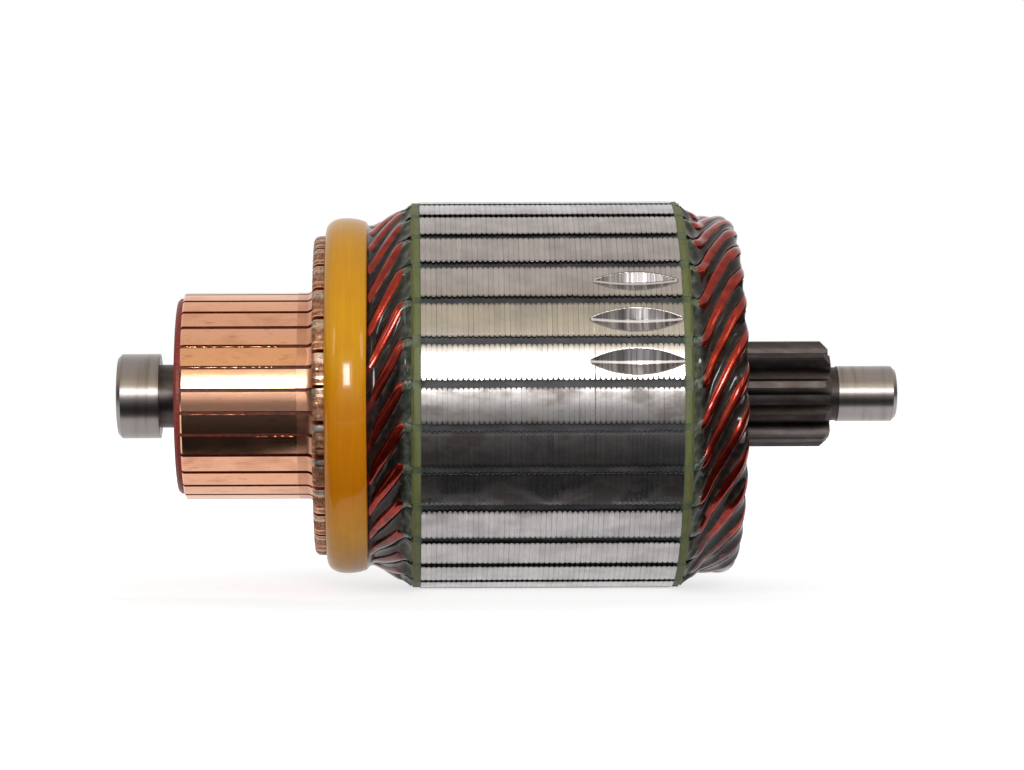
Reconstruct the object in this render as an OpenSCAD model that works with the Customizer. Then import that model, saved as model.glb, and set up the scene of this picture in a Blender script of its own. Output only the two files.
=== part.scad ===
// Starter motor armature: a laminated core with a wave winding of round hairpin coils,
// a moulded commutator and a shaft that carries its own sun gear.
// The shaft lies along X, commutator end first. The origin is on the axis, at the middle
// of the commutator-end journal. Angles run from +Y towards +Z, so 180 faces -Y.

/* [Shaft] */
// Diameter of the bearing journal at the commutator end
rear_journal_d = 17; // [14:0.1:17.8]
// Length of the bearing journal at the commutator end
rear_journal_l = 8.4; // [6:0.1:12]
// Diameter of the neck between that journal and the commutator
neck_d = 12.7; // [10:0.1:13.8]
// Length of the neck up to the front face of the commutator
neck_l = 3.8; // [2:0.1:8]
// Diameter of the seat that the commutator is pressed on
commutator_seat_d = 18; // [17.8:0.1:20]
// Diameter of the seat that the core is pressed on
core_seat_d = 24; // [21:0.1:28]
// Length of the plain collar between the core and the gear
collar_l = 4.4; // [2:0.1:8]
// Diameter of the relief groove behind the gear
relief_d = 10.7; // [8:0.1:11]
// Length of the relief groove
relief_l = 1.9; // [1:0.1:4]
// Diameter of the pilot journal at the gear end
pilot_d = 11.1; // [9:0.1:13]
// Length of the pilot journal
pilot_l = 11.7; // [8:0.1:18]
// Chamfer on both ends of the shaft
end_chamfer = 0.8; // [0.3:0.1:1.5]
// Mouth diameter of the turning centre in each end of the shaft
centre_d = 4; // [2:0.1:6]

/* [Gear] */
// Number of teeth
gear_teeth = 10; // [9:1:13]
// Module of the teeth
gear_module = 1.75; // [1.6:0.05:1.85]
// Length of the teeth
gear_l = 25.5; // [15:0.5:35]
// Profile shift, in modules
gear_shift = 0.26; // [0:0.01:0.4]
// Height of the teeth above the pitch circle, in modules
gear_addendum = 0.8; // [0.7:0.05:1]
// Depth of the teeth below the pitch circle, in modules
gear_dedendum = 1; // [0.9:0.05:1.25]
// Angle of the middle of one tooth
gear_phase = 169.8; // [160:0.1:196]
// Chamfer on the outer end of the teeth
gear_chamfer = 1.4; // [0.4:0.1:2]

/* [Core] */
// Outer diameter of the stack of sheets
core_d = 77.5; // [74:0.1:84]
// Thickness of one sheet
lamination_t = 1; // [0.5:0.05:1.2]
// Number of sheets
lamination_count = 50; // [30:1:70]
// Number of slots, which is also the number of hairpins and of commutator bars
slot_count = 29; // [25:2:29]
// Width of the mouth of a slot
slot_mouth = 1.5; // [1:0.1:2.2]
// Thickness of the tooth tips over the middle of a slot
tooth_lip = 1.15; // [0.8:0.05:2]
// Angle of the middle of one slot
slot_phase = 176.7; // [170:0.1:182]
// Thickness of the insulating plate on each end of the stack
end_plate_t = 1.85; // [1:0.05:3]
// Step from the core down to the rim of the end plates
end_plate_step = 0.2; // [0:0.05:1]
// Chamfer on the outer rim of the end plates
end_plate_chamfer = 0.5; // [0.2:0.1:0.9]

/* [Balance cuts] */
// Depths of the milled balance cuts, one for each of neighbouring teeth
balance_depths = [1.3, 1.24, 1.05];
// Radius of the milling cutter
balance_cutter_r = 32; // [15:0.5:40]
// Half width of the cut for each millimetre of its depth
balance_slope = 1.8; // [1:0.05:2]
// Width of the flat at the bottom of a cut
balance_flat = 0.7; // [0.1:0.05:0.8]
// Distance from the gear-side face of the core to the middle of the cuts
balance_inset = 8.9; // [8:0.1:30]

/* [Winding] */
// Diameter of the enamelled wire
wire_d = 2.8; // [2.2:0.05:2.9]
// Slots spanned by one hairpin
coil_span = 5; // [4:1:6]
// Commutator bars from one end of a hairpin to the other
bar_span = 10; // [9:1:11]
// Thickness of the slot liner
liner_t = 0.25; // [0.15:0.05:0.4]
// Clearance between the wire and the liner
wire_clear = 0.05; // [0.02:0.01:0.2]
// Clearance between the liner and the slot
liner_clear = 0.05; // [0.02:0.01:0.2]
// How far the liners stand out of the end plates
liner_cuff = 0.9; // [0.3:0.1:1.2]
// Gap between the two wires in a slot
slot_layer_gap = 0.4; // [0.1:0.05:1]
// Straight length of wire beyond an end plate before it leans over
straight_l = 1.6; // [1.4:0.1:4]
// Gap between neighbouring wires of the inner layer at the gear end
wire_gap = 0.25; // [0.2:0.05:0.6]
// Gap between the two layers of wire at the gear end
nose_layer_gap = 0.5; // [0.4:0.05:1.5]
// Drop of the outer layer from the slots to the gear-end overhang
overhang_drop = 1.35; // [0.5:0.05:3]
// Distance from the risers to the end plate of the core
lead_l = 14.9; // [14:0.1:22]
// Straight length of the leads behind the risers
lead_straight = 2.8; // [2.4:0.1:5]
// Climb of the leads from the risers to the band
lead_climb = 2.2; // [1.6:0.1:2.6]
// Gap between the two layers of leads
lead_layer_gap = 0.45; // [0.35:0.05:1]
// Thickness of the sleeves between the layers
sleeve_t = 0.2; // [0.1:0.05:0.3]
// Sides of a wire in section
wire_sides = 8; // [6:2:12]

/* [Commutator] */
// Diameter of the brush track
track_d = 41.4; // [40:0.1:46]
// Length of the brush track
track_l = 26; // [18:0.1:36]
// Diameter over the risers
riser_d = 64; // [62:0.1:66]
// Thickness of the risers along the shaft
riser_t = 4.2; // [3:0.1:6]
// Radius between track and riser
riser_fillet = 1.1; // [0.5:0.1:2]
// Radius on the front edge of the risers
riser_round = 1.2; // [0.4:0.1:1.5]
// Gap between the two wires in a riser
riser_layer_gap = 0.2; // [0.1:0.05:0.6]
// Clearance between the wires and the slot in a riser
riser_clear = 0.05; // [0.02:0.01:0.2]
// How far the wire ends stay behind the front of the risers
wire_end_inset = 0.9; // [0.3:0.1:1.5]
// Gap between neighbouring bars
bar_gap = 0.75; // [0.5:0.05:1]
// Depth of the gaps above the mica
undercut = 0.8; // [0.4:0.1:1.5]
// Chamfer on the front of the bars
bar_chamfer = 0.3; // [0.2:0.1:1.2]
// Radius of the foot of the bars
bar_foot_r = 13.6; // [13:0.1:14]
// Radius of the bottom of the V grooves that hold the bars
groove_r = 16.4; // [15.5:0.1:17]
// Radius of the outer edge of the V grooves
groove_mouth_r = 18.2; // [17.8:0.1:18.6]
// Depth of the V grooves along the shaft
groove_depth = 3; // [2:0.1:5]
// Distance from the ends of a bar to its foot
foot_inset = 1.2; // [0.6:0.1:1.8]
// Thickness of the hub's lips over the ends of the bars
hub_lip_t = 1.3; // [0.5:0.1:2]
// Outer radius of the hub's lips
hub_lip_r = 19.6; // [18.8:0.1:19.8]
// Chamfer on the hub's lips
hub_chamfer = 0.5; // [0.2:0.1:0.8]
// Wall of the steel bush in the hub
bush_wall = 2; // [1:0.1:2.8]

/* [Band] */
// Length of the band
band_l = 8.3; // [6:0.1:9]
// How far the band laps over the risers
band_lap = 1.9; // [1:0.1:3]
// Thickness of the band at its crown
band_t = 1.4; // [0.8:0.1:3]
// Thickness of the band at its edge over the risers
band_edge_t = 0.7; // [0.4:0.1:1]
// Thickness of the band at its other edge
band_lip_t = 0.2; // [0.1:0.1:0.6]
// Clearance between the band and the leads
band_clear = 0.1; // [0.05:0.01:0.3]
// Plain length of wire between the band and the climb to the slots
band_margin = 1.6; // [0.5:0.1:3]

/* [Fits] */
// Radial clearance of pressed and moulded fits
fit_clear = 0.02; // [0.01:0.01:0.1]

/* [Hidden] */
$fn = 96;
past = 1;
pressure_angle = 20;
centre_angle = 60;
band_fullness = 2.5;
flank_steps = 6;
fillet_steps = 6;
crown_steps = 12;
degrees = 180 / PI;

// Stations along the shaft
rear_x = -rear_journal_l / 2;
neck_x = rear_journal_l / 2;
hub_x0 = neck_x + neck_l;
bar_x0 = hub_x0 + hub_lip_t;
riser_x0 = bar_x0 + track_l;
riser_x1 = riser_x0 + riser_t;
hub_x1 = riser_x1 + hub_lip_t;
plate_x0 = riser_x1 + lead_l;
core_x0 = plate_x0 + end_plate_t;
core_l = lamination_count * lamination_t;
core_x1 = core_x0 + core_l;
plate_x1 = core_x1 + end_plate_t;
gear_x0 = plate_x1 + collar_l;
gear_x1 = gear_x0 + gear_l;
pilot_x0 = gear_x1 + relief_l;
pilot_x1 = pilot_x0 + pilot_l;
band_x0 = riser_x1 - band_lap;
band_x1 = band_x0 + band_l;

// Radii and angles of the core and the slots
pitch = 360 / slot_count;
core_r = core_d / 2;
wire_r = wire_d / 2;
slot_w = wire_d + 2 * (wire_clear + liner_t + liner_clear);
slot_outer_r = core_r - tooth_lip - slot_w / 2;
slot_inner_r = slot_outer_r - wire_d - slot_layer_gap;

// Commutator
track_r = track_d / 2;
riser_r = riser_d / 2;
riser_outer_r = riser_r - wire_r;
riser_inner_r = riser_outer_r - wire_d - riser_layer_gap;
riser_slot_w = wire_d + 2 * riser_clear;
bush_r = commutator_seat_d / 2 + fit_clear;
hub_bore_r = bush_r + bush_wall + fit_clear;

// Winding at the commutator end: each lead leans over by half of what the bars span more
// than the slots, which puts the bars on the slots or half a pitch beside them
span_slots = round(coil_span);
lead_slots = (round(bar_span) - span_slots) / 2;
lead_shift = lead_slots * pitch;
bar_phase = slot_phase + (lead_slots - floor(lead_slots)) * pitch;
lead_x0 = riser_x1 + lead_straight;
lead_x1 = plate_x0 - straight_l;
climb_x0 = band_x1 + band_margin;
lead_outer_r = riser_outer_r + lead_climb;
lead_inner_r = lead_outer_r - wire_d - lead_layer_gap;
lead_bend = 0.7;
inner_late = wire_r - lead_bend / 2;

// Winding at the gear end: both layers lean at the angle that leaves wire_gap between
// neighbours of the inner layer, and the nose turns from one layer to the other
nose_r = (wire_d + nose_layer_gap) / 2;
over_outer_r = slot_outer_r - overhang_drop;
over_inner_r = over_outer_r - 2 * nose_r;
over_mid_r = over_outer_r - nose_r;
lean = acos((wire_d + wire_gap) / (2 * PI * over_inner_r / slot_count));
span_turn = span_slots * pitch;
layer_travel = span_turn / degrees / tan(lean) - PI * nose_r / over_mid_r;
lean_l = layer_travel / (1 / over_outer_r + 1 / over_inner_r);
bend_x = plate_x1 + straight_l;
nose_x = bend_x + lean_l;
over_bend = 0.7;
nose_turns = [0, 45, 90, 135, 180];

// Balance cuts sit on the teeth that face up and to the front
balance_x = core_x1 - balance_inset;

// Gear
gear_pitch_r = gear_module * gear_teeth / 2;
gear_base_r = gear_pitch_r * cos(pressure_angle);
gear_tip_r = gear_pitch_r + gear_module * (gear_addendum + gear_shift);
gear_root_r = gear_pitch_r - gear_module * (gear_dedendum - gear_shift);

function backwards(list) = [for (i = [len(list) - 1:-1:0]) list[i]];
function two_digits(n) = str(n < 10 ? "0" : "", n);
function hairpin_name(k) = str("hairpin_", two_digits(k + 1));

// Lays a shape built along Z down along X, with its own X axis on +Y
module along_x(x = 0) {
    translate([x, 0, 0]) rotate([90, 0, 90]) children();
}

// Turns a profile of [x, radius] points about the shaft axis
module turned(profile, angle = 360) {
    along_x() rotate_extrude(angle = angle) polygon([for (p = profile) [p[1], p[0]]]);
}

// Involute of the gear flank, in degrees of half tooth at radius r
function roll(r) = tan(acos(gear_base_r / r)) * degrees - acos(gear_base_r / r);
half_tooth = (90 + 2 * gear_shift * tan(pressure_angle) * degrees) / gear_teeth
    + tan(pressure_angle) * degrees - pressure_angle;
function flank_r(i) = gear_base_r + (gear_tip_r - gear_base_r) * i / flank_steps;
function at(r, a) = [r * cos(a), r * sin(a)];
gear_outline = [
    for (k = [0:gear_teeth - 1])
        let (a = gear_phase + k * 360 / gear_teeth)
        each concat(
            [at(gear_root_r, a - half_tooth)],
            [for (i = [0:flank_steps]) at(flank_r(i), a - half_tooth + roll(flank_r(i)))],
            [for (i = [flank_steps:-1:0]) at(flank_r(i), a + half_tooth - roll(flank_r(i)))],
            [at(gear_root_r, a + half_tooth)]
        )
];

// Profile of the turned shaft, with a turning centre in each end
centre_depth = centre_d / 2 / tan(centre_angle / 2);
shaft_profile = [
    [rear_x + centre_depth, 0],
    [rear_x, centre_d / 2],
    [rear_x, rear_journal_d / 2 - end_chamfer],
    [rear_x + end_chamfer, rear_journal_d / 2],
    [neck_x, rear_journal_d / 2],
    [neck_x, neck_d / 2],
    [bar_x0, neck_d / 2],
    [bar_x0, commutator_seat_d / 2],
    [hub_x1 + fit_clear, commutator_seat_d / 2],
    [hub_x1 + fit_clear, core_seat_d / 2],
    [gear_x0, core_seat_d / 2],
    [gear_x0, gear_root_r],
    [gear_x1, gear_root_r],
    [gear_x1, relief_d / 2],
    [pilot_x0, relief_d / 2],
    [pilot_x0, pilot_d / 2],
    [pilot_x1 - end_chamfer, pilot_d / 2],
    [pilot_x1, pilot_d / 2 - end_chamfer],
    [pilot_x1, centre_d / 2],
    [pilot_x1 - centre_depth, 0]
];

// Blank of the gear: its outer end is chamfered
gear_blank = [
    [gear_x0 - past, 0],
    [gear_x0 - past, gear_tip_r],
    [gear_x1 - gear_chamfer, gear_tip_r],
    [gear_x1, gear_tip_r - gear_chamfer],
    [gear_x1, 0]
];

module shaft() {
    color("lightsteelblue") union() {
        turned(shaft_profile);
        intersection() {
            along_x(gear_x0 - past) linear_extrude(gear_l + past) polygon(gear_outline);
            turned(gear_blank);
        }
    }
}

// Outline around both wires of one slot, a stadium of the given width
module slot_stadium(width) {
    translate([slot_outer_r, 0]) circle(d = width);
    translate([slot_inner_r, 0]) circle(d = width);
    translate([slot_inner_r, -width / 2]) square([slot_outer_r - slot_inner_r, width]);
}

// A disc with the slots and the bore cut out
module slotted_disc(radius) {
    difference() {
        circle(radius);
        circle(core_seat_d / 2 + fit_clear);
        for (k = [0:slot_count - 1]) rotate(slot_phase + k * pitch) {
            slot_stadium(slot_w);
            translate([slot_outer_r, -slot_mouth / 2]) square([core_r, slot_mouth]);
        }
    }
}

// The milling cutter of the balance cuts: a disc with a V edge, in the plane of the shaft
module balance_cutter(depth) {
    reach = depth + past;
    translate([0, 0, core_r - depth + balance_cutter_r]) rotate([90, 0, 0]) rotate_extrude()
        polygon([
            [0, -balance_flat / 2 - reach * balance_slope],
            [balance_cutter_r - reach, -balance_flat / 2 - reach * balance_slope],
            [balance_cutter_r, -balance_flat / 2],
            [balance_cutter_r, balance_flat / 2],
            [balance_cutter_r - reach, balance_flat / 2 + reach * balance_slope],
            [0, balance_flat / 2 + reach * balance_slope]
        ]);
}

module core_stack() {
    color("darkgray") difference() {
        along_x(core_x0) linear_extrude(core_l) slotted_disc(core_r);
        for (k = [0:len(balance_depths) - 1])
            translate([balance_x, 0, 0]) rotate([slot_phase - (k + 0.5) * pitch - 90, 0, 0])
                balance_cutter(balance_depths[k]);
    }
}

// Insulating plate on the stack, with the chamfer on its outer face
module end_plate(x_stack, x_face) {
    rim_r = core_r - end_plate_step;
    side = x_face > x_stack ? 1 : -1;
    intersection() {
        along_x(min(x_stack, x_face)) linear_extrude(end_plate_t) slotted_disc(rim_r);
        turned([
            [x_stack, 0],
            [x_stack, rim_r],
            [x_face - side * end_plate_chamfer, rim_r],
            [x_face, rim_r - end_plate_chamfer],
            [x_face, 0]
        ]);
    }
}

module rear_end_plate() {
    color("darkolivegreen") end_plate(core_x0, plate_x0);
}

module gear_end_plate() {
    color("darkolivegreen") end_plate(core_x1, plate_x1);
}

// Closed tubes of sheet that line the slots and stand out of the end plates
module slot_liners() {
    outer_w = slot_w - 2 * liner_clear;
    cuff_x0 = plate_x0 - liner_cuff;
    cuff_x1 = plate_x1 + liner_cuff;
    color("slategray") along_x(cuff_x0) linear_extrude(cuff_x1 - cuff_x0)
        for (k = [0:slot_count - 1]) rotate(slot_phase + k * pitch) difference() {
            slot_stadium(outer_w);
            slot_stadium(outer_w - 2 * liner_t);
        }
}

// Underside of the bars from rear to front: V grooves at both ends and the foot between
function bar_underside(x0, x1, foot_r) = [
    [x1, groove_mouth_r],
    [x1 - groove_depth, groove_r],
    [x1 - foot_inset, foot_r],
    [x0 + foot_inset, foot_r],
    [x0 + groove_depth, groove_r],
    [x0, groove_mouth_r]
];

// Profile of a copper bar: track, fillet and rounded riser over the underside
bar_profile = concat(
    [
        [bar_x0, track_r - bar_chamfer],
        [bar_x0 + bar_chamfer, track_r]
    ],
    [
        for (i = [0:fillet_steps])
            let (a = 90 * i / fillet_steps)
            [riser_x0 - riser_fillet * (1 - sin(a)), track_r + riser_fillet * (1 - cos(a))]
    ],
    [
        for (i = [0:fillet_steps])
            let (a = 90 * i / fillet_steps)
            [riser_x0 + riser_round * (1 - cos(a)), riser_r - riser_round * (1 - sin(a))]
    ],
    [[riser_x1, riser_r]],
    bar_underside(bar_x0, riser_x1, bar_foot_r)
);

// Section of one bar across the shaft: its sides stay bar_gap away from the next bars
module bar_section() {
    apex = bar_gap / 2 / sin(pitch / 2);
    reach = riser_r + past;
    polygon([
        [apex, 0],
        [apex + reach * cos(pitch / 2), -reach * sin(pitch / 2)],
        [apex + reach * cos(pitch / 2), reach * sin(pitch / 2)]
    ]);
}

module commutator_bar() {
    slot_floor = riser_inner_r - wire_r - riser_clear;
    difference() {
        intersection() {
            turned(bar_profile);
            along_x(bar_x0) linear_extrude(riser_x1 - bar_x0) bar_section();
        }
        translate([riser_x0 - past, slot_floor, -riser_slot_w / 2])
            cube([riser_t + 2 * past, riser_r, riser_slot_w]);
    }
}

module commutator_bars() {
    color("peru") for (k = [0:slot_count - 1])
        rotate([bar_phase + k * pitch, 0, 0]) commutator_bar();
}

// Insulating strips between the bars, cut back below the track
module mica_strips() {
    strip = concat(
        [[bar_x0, track_r - undercut], [riser_x1, track_r - undercut]],
        bar_underside(bar_x0, riser_x1, bar_foot_r)
    );
    color("saddlebrown") for (k = [0:slot_count - 1])
        rotate([bar_phase + (k - 0.5) * pitch, 0, 0]) translate([0, 0, -bar_gap / 2])
            linear_extrude(bar_gap) polygon(strip);
}

// Moulded hub: it fills the V grooves of the bars and laps over their ends
module commutator_hub() {
    x0 = bar_x0 - fit_clear;
    x1 = riser_x1 + fit_clear;
    profile = concat(
        [
            [hub_x0, hub_bore_r],
            [hub_x0, hub_lip_r - hub_chamfer],
            [hub_x0 + hub_chamfer, hub_lip_r],
            [x0, hub_lip_r]
        ],
        backwards(bar_underside(x0, x1, bar_foot_r - fit_clear)),
        [
            [x1, hub_lip_r],
            [hub_x1 - hub_chamfer, hub_lip_r],
            [hub_x1, hub_lip_r - hub_chamfer],
            [hub_x1, hub_bore_r]
        ]
    );
    color("maroon") turned(profile);
}

module commutator_bush() {
    color("gray") turned([
        [bar_x0 + fit_clear, bush_r],
        [bar_x0 + fit_clear, bush_r + bush_wall],
        [hub_x1, bush_r + bush_wall],
        [hub_x1, bush_r]
    ]);
}

// A step from 0 to 1 between x0 and x1, rounded over s at both corners
function soft(t, s) = t <= -s ? 0 : t >= s ? t : (t + s) * (t + s) / (4 * s);
function ramp(x, x0, x1, s) = (soft(x - x0, s) - soft(x - x1, s)) / (x1 - x0);

// A lead behind the commutator: its radius, and how far it is turned from its slot. The
// inner leads climb and lean a little later, so that they stay clear of the outer ones.
function lead_radius(x, late, riser, lead, slot) = riser
    + (lead - riser) * ramp(x, riser_x1 + late + lead_bend, lead_x0 + late, lead_bend)
    + (slot - lead) * ramp(x, climb_x0, lead_x1, lead_bend);
function lead_turn(x, late) = lead_shift * (1 - ramp(x, lead_x0 + late, lead_x1, lead_bend));
function lead_stations(late) = [
    riser_x0 + wire_end_inset,
    riser_x1 + late,
    lead_x0 + late - lead_bend / 2,
    lead_x0 + late + lead_bend,
    climb_x0,
    lead_x1 - lead_bend,
    lead_x1 + lead_bend
];

// A leaning wire at the gear end: its radius, and how far it is turned from its slot
function over_radius(x, slot, over) = slot
    + (over - slot) * ramp(x, bend_x, bend_x + 2 * over_bend, over_bend);
function over_turn(x, over) = soft(x - bend_x, over_bend) * tan(lean) / over * degrees;
over_stations = [bend_x - over_bend, bend_x + over_bend, bend_x + lean_l / 2];

// The nose: it turns about nose_x from the outer layer to the inner one, still leaning
function nose_point(b) =
    let (r = over_mid_r + nose_r * cos(b))
    [
        nose_x + nose_r * sin(b),
        r,
        over_turn(nose_x, over_outer_r) + b * nose_r / over_mid_r * tan(lean)
    ];

// One hairpin from end to end as [x, radius, turn] points. The outer leg turns back to its
// bar, the nose turns on to the inner slot, and the inner leg turns on to its own bar.
hairpin_path = concat(
    [
        for (x = lead_stations(0))
            [x, lead_radius(x, 0, riser_outer_r, lead_outer_r, slot_outer_r), -lead_turn(x, 0)]
    ],
    [
        for (x = over_stations)
            [x, over_radius(x, slot_outer_r, over_outer_r), over_turn(x, over_outer_r)]
    ],
    [for (b = nose_turns) nose_point(b)],
    [
        for (x = backwards(over_stations))
            [x, over_radius(x, slot_inner_r, over_inner_r), span_turn - over_turn(x, over_inner_r)]
    ],
    [
        for (x = backwards(lead_stations(inner_late)))
            [
                x,
                lead_radius(x, inner_late, riser_inner_r, lead_inner_r, slot_inner_r),
                span_turn + lead_turn(x, inner_late)
            ]
    ]
);

// Sweeps a round wire along [x, radius, turn] points
function unit(v) = v / norm(v);
function place(p) = [p[0], p[1] * cos(-p[2]), p[1] * sin(-p[2])];
function heading(points, i) = unit(points[min(i + 1, len(points) - 1)] - points[max(i - 1, 0)]);
function wire_ring(points, i) =
    let (
        p = points[i],
        t = heading(points, i),
        out = unit([0, p[1], p[2]]),
        n = unit(out - (out * t) * t),
        b = cross(t, n)
    )
    [
        for (j = [0:wire_sides - 1])
            let (v = (j + 0.5) * 360 / wire_sides)
            p + wire_r * (cos(v) * n + sin(v) * b)
    ];

module swept_wire(path) {
    points = [for (p = path) place(p)];
    rings = len(points);
    m = wire_sides;
    polyhedron(
        points = [for (i = [0:rings - 1]) each wire_ring(points, i)],
        faces = concat(
            [[for (j = [0:m - 1]) j]],
            [
                for (i = [0:rings - 2], j = [0:m - 1])
                    [i * m + j, (i + 1) * m + j, (i + 1) * m + (j + 1) % m, i * m + (j + 1) % m]
            ],
            [[for (j = [m - 1:-1:0]) (rings - 1) * m + j]]
        )
    );
}

module hairpin(k) {
    color("firebrick") rotate([slot_phase + k * pitch, 0, 0]) swept_wire(hairpin_path);
}

// Wound and varnished band that ties the leads down behind the risers
module lead_band() {
    lap_r = riser_r + band_clear;
    seat_r = lead_outer_r + wire_r + band_clear;
    edge_r0 = lap_r + band_edge_t;
    edge_r1 = seat_r + band_lip_t;
    crown_r = seat_r + band_t;
    crown = [
        for (i = [0:crown_steps])
            let (
                s = i / crown_steps,
                edge_r = edge_r0 + (edge_r1 - edge_r0) * s,
                bow = sqrt(1 - pow(abs(2 * s - 1), band_fullness))
            )
            [band_x0 + band_l * s, edge_r + (crown_r - edge_r) * bow]
    ];
    color("goldenrod") turned(concat(
        crown,
        [
            [band_x1, seat_r],
            [lead_x0 - 2 * lead_bend, seat_r],
            [riser_x1 - lead_bend, lap_r],
            [band_x0, lap_r]
        ]
    ));
}

// Thin insulating sleeves between the two layers of wire, one at each end
module layer_sleeve(x0, x1, middle_r) {
    turned([
        [x0, middle_r - sleeve_t / 2],
        [x0, middle_r + sleeve_t / 2],
        [x1, middle_r + sleeve_t / 2],
        [x1, middle_r - sleeve_t / 2]
    ]);
}

module lead_sleeve() {
    color("wheat") layer_sleeve(
        lead_x0 + inner_late + lead_bend,
        climb_x0 - lead_bend,
        (lead_outer_r + lead_inner_r) / 2
    );
}

module nose_sleeve() {
    color("wheat") layer_sleeve(bend_x + lean_l / 2, nose_x - sleeve_t, over_mid_r);
}

shaft();
core_stack();
rear_end_plate();
gear_end_plate();
slot_liners();
commutator_bars();
mica_strips();
commutator_hub();
commutator_bush();
lead_band();
lead_sleeve();
nose_sleeve();
for (k = [0:slot_count - 1])
    hairpin(k);
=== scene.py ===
# %% [markdown]
# # A starter motor's armature
# The armature is the rotor of a starter motor. Its copper winding lies in the slots of a stack of
# steel sheets, a commutator feeds it, and the shaft ends in a small gear.
# The solids of every piece are loaded first and stay fixed. Each step below then gives one piece its
# real surface: a material for a solid that is already right, or a finer mesh where the eye expects
# more than a plain solid. All lengths are in metres, and the shaft lies along X.

# %% Load the frame
from math import acos, cos, pi, radians, sin, tan

import bpy
import numpy as np
from mathutils import Matrix, Vector


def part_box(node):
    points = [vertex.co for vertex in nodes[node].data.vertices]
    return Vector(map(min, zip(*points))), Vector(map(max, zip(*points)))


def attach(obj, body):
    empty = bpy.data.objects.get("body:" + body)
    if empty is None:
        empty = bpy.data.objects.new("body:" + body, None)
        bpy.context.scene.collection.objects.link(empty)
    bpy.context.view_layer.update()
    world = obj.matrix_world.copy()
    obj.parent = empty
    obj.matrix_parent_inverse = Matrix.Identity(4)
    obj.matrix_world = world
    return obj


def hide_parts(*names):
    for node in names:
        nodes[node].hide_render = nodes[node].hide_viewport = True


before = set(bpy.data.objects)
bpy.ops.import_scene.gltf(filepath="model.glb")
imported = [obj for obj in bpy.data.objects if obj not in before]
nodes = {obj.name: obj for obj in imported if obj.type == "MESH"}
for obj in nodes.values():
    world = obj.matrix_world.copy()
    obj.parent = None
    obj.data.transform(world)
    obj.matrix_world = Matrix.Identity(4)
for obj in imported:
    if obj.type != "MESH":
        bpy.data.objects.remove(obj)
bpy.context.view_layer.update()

MM = 0.001

# %% [markdown]
# ## Stations along the shaft
# A turner would mark the stations of the shaft first. Here they are read from the boxes of the solids,
# so that every finer mesh starts and ends where its solid does. The few sizes that a box can't show,
# such as the wire's thickness and the angle of the first slot, are written down once.

# %% Stations and sizes
def span_x(node):
    """Where a solid starts and ends along the shaft."""
    low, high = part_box(node)
    return low.x, high.x


def outer_radius(node):
    """Largest distance of a solid's vertices from the shaft axis."""
    co = np.array([v.co for v in nodes[node].data.vertices])
    return float(np.hypot(co[:, 1], co[:, 2]).max())


core_x0, core_x1 = span_x("core_stack")
plate_x0, plate_x1 = span_x("rear_end_plate")[0], span_x("gear_end_plate")[1]
bar_x0, riser_x1 = span_x("commutator_bars")
band_x0, band_x1 = span_x("lead_band")
core_r = outer_radius("core_stack")
riser_r = outer_radius("commutator_bars")
band_r = outer_radius("lead_band")
SLOTS = 29
SHEETS = 50
PITCH = 2 * pi / SLOTS
FIRST_SLOT = radians(176.7)
WIRE_R = 1.4 * MM
RISER_T = 4.2 * MM
TRACK_R = 20.7 * MM
riser_x0 = riser_x1 - RISER_T


def slot_angle(k):
    """Angle of slot k round the shaft. Tooth and bar k lie at k + 0.5."""
    return FIRST_SLOT + k * PITCH


print("core", [round(v / MM, 2) for v in (core_x0, core_x1, core_r)], "risers", round(riser_x0 / MM, 2))

# %% [markdown]
# ## Camera
# The photograph was taken from the side with a long lens that looks straight across the shaft. The
# camera stands left of the middle, opposite the band. Turning it to the right would make the gear end
# look smaller, so the picture is shifted instead, as a view camera does.

# %% Camera
CAMERA_AT = Vector((51.5, -650.0, 2.08)) * MM
LENS = 113.6
SHIFT = (512 - 396) / 1024
ROLL = radians(-0.215)
scene = bpy.context.scene
camera = bpy.data.objects.new("camera", bpy.data.cameras.new("camera"))
scene.collection.objects.link(camera)
aim = Vector((0, 1, 0)).to_track_quat("-Z", "Y").to_matrix().to_4x4()
camera.matrix_world = Matrix.Translation(CAMERA_AT) @ aim @ Matrix.Rotation(ROLL, 4, "Z")
camera.data.lens = LENS
camera.data.shift_x = SHIFT
camera.data.sensor_width = 36.0
camera.data.clip_start, camera.data.clip_end = 0.01, 20.0
scene.camera = camera
scene.view_settings.view_transform = "Standard"
print("camera distance in mm:", round(-CAMERA_AT.y / MM), "shift:", round(SHIFT, 4))

# %% [markdown]
# ## Making materials
# A material in Blender is a graph of nodes. These small classes keep the calls short: they add a node,
# set its inputs, and link one node's output to the next. Patterns read the object's own place, and
# their sizes are given in mm, so a pattern of 2 mm stays 2 mm on every piece.

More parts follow.
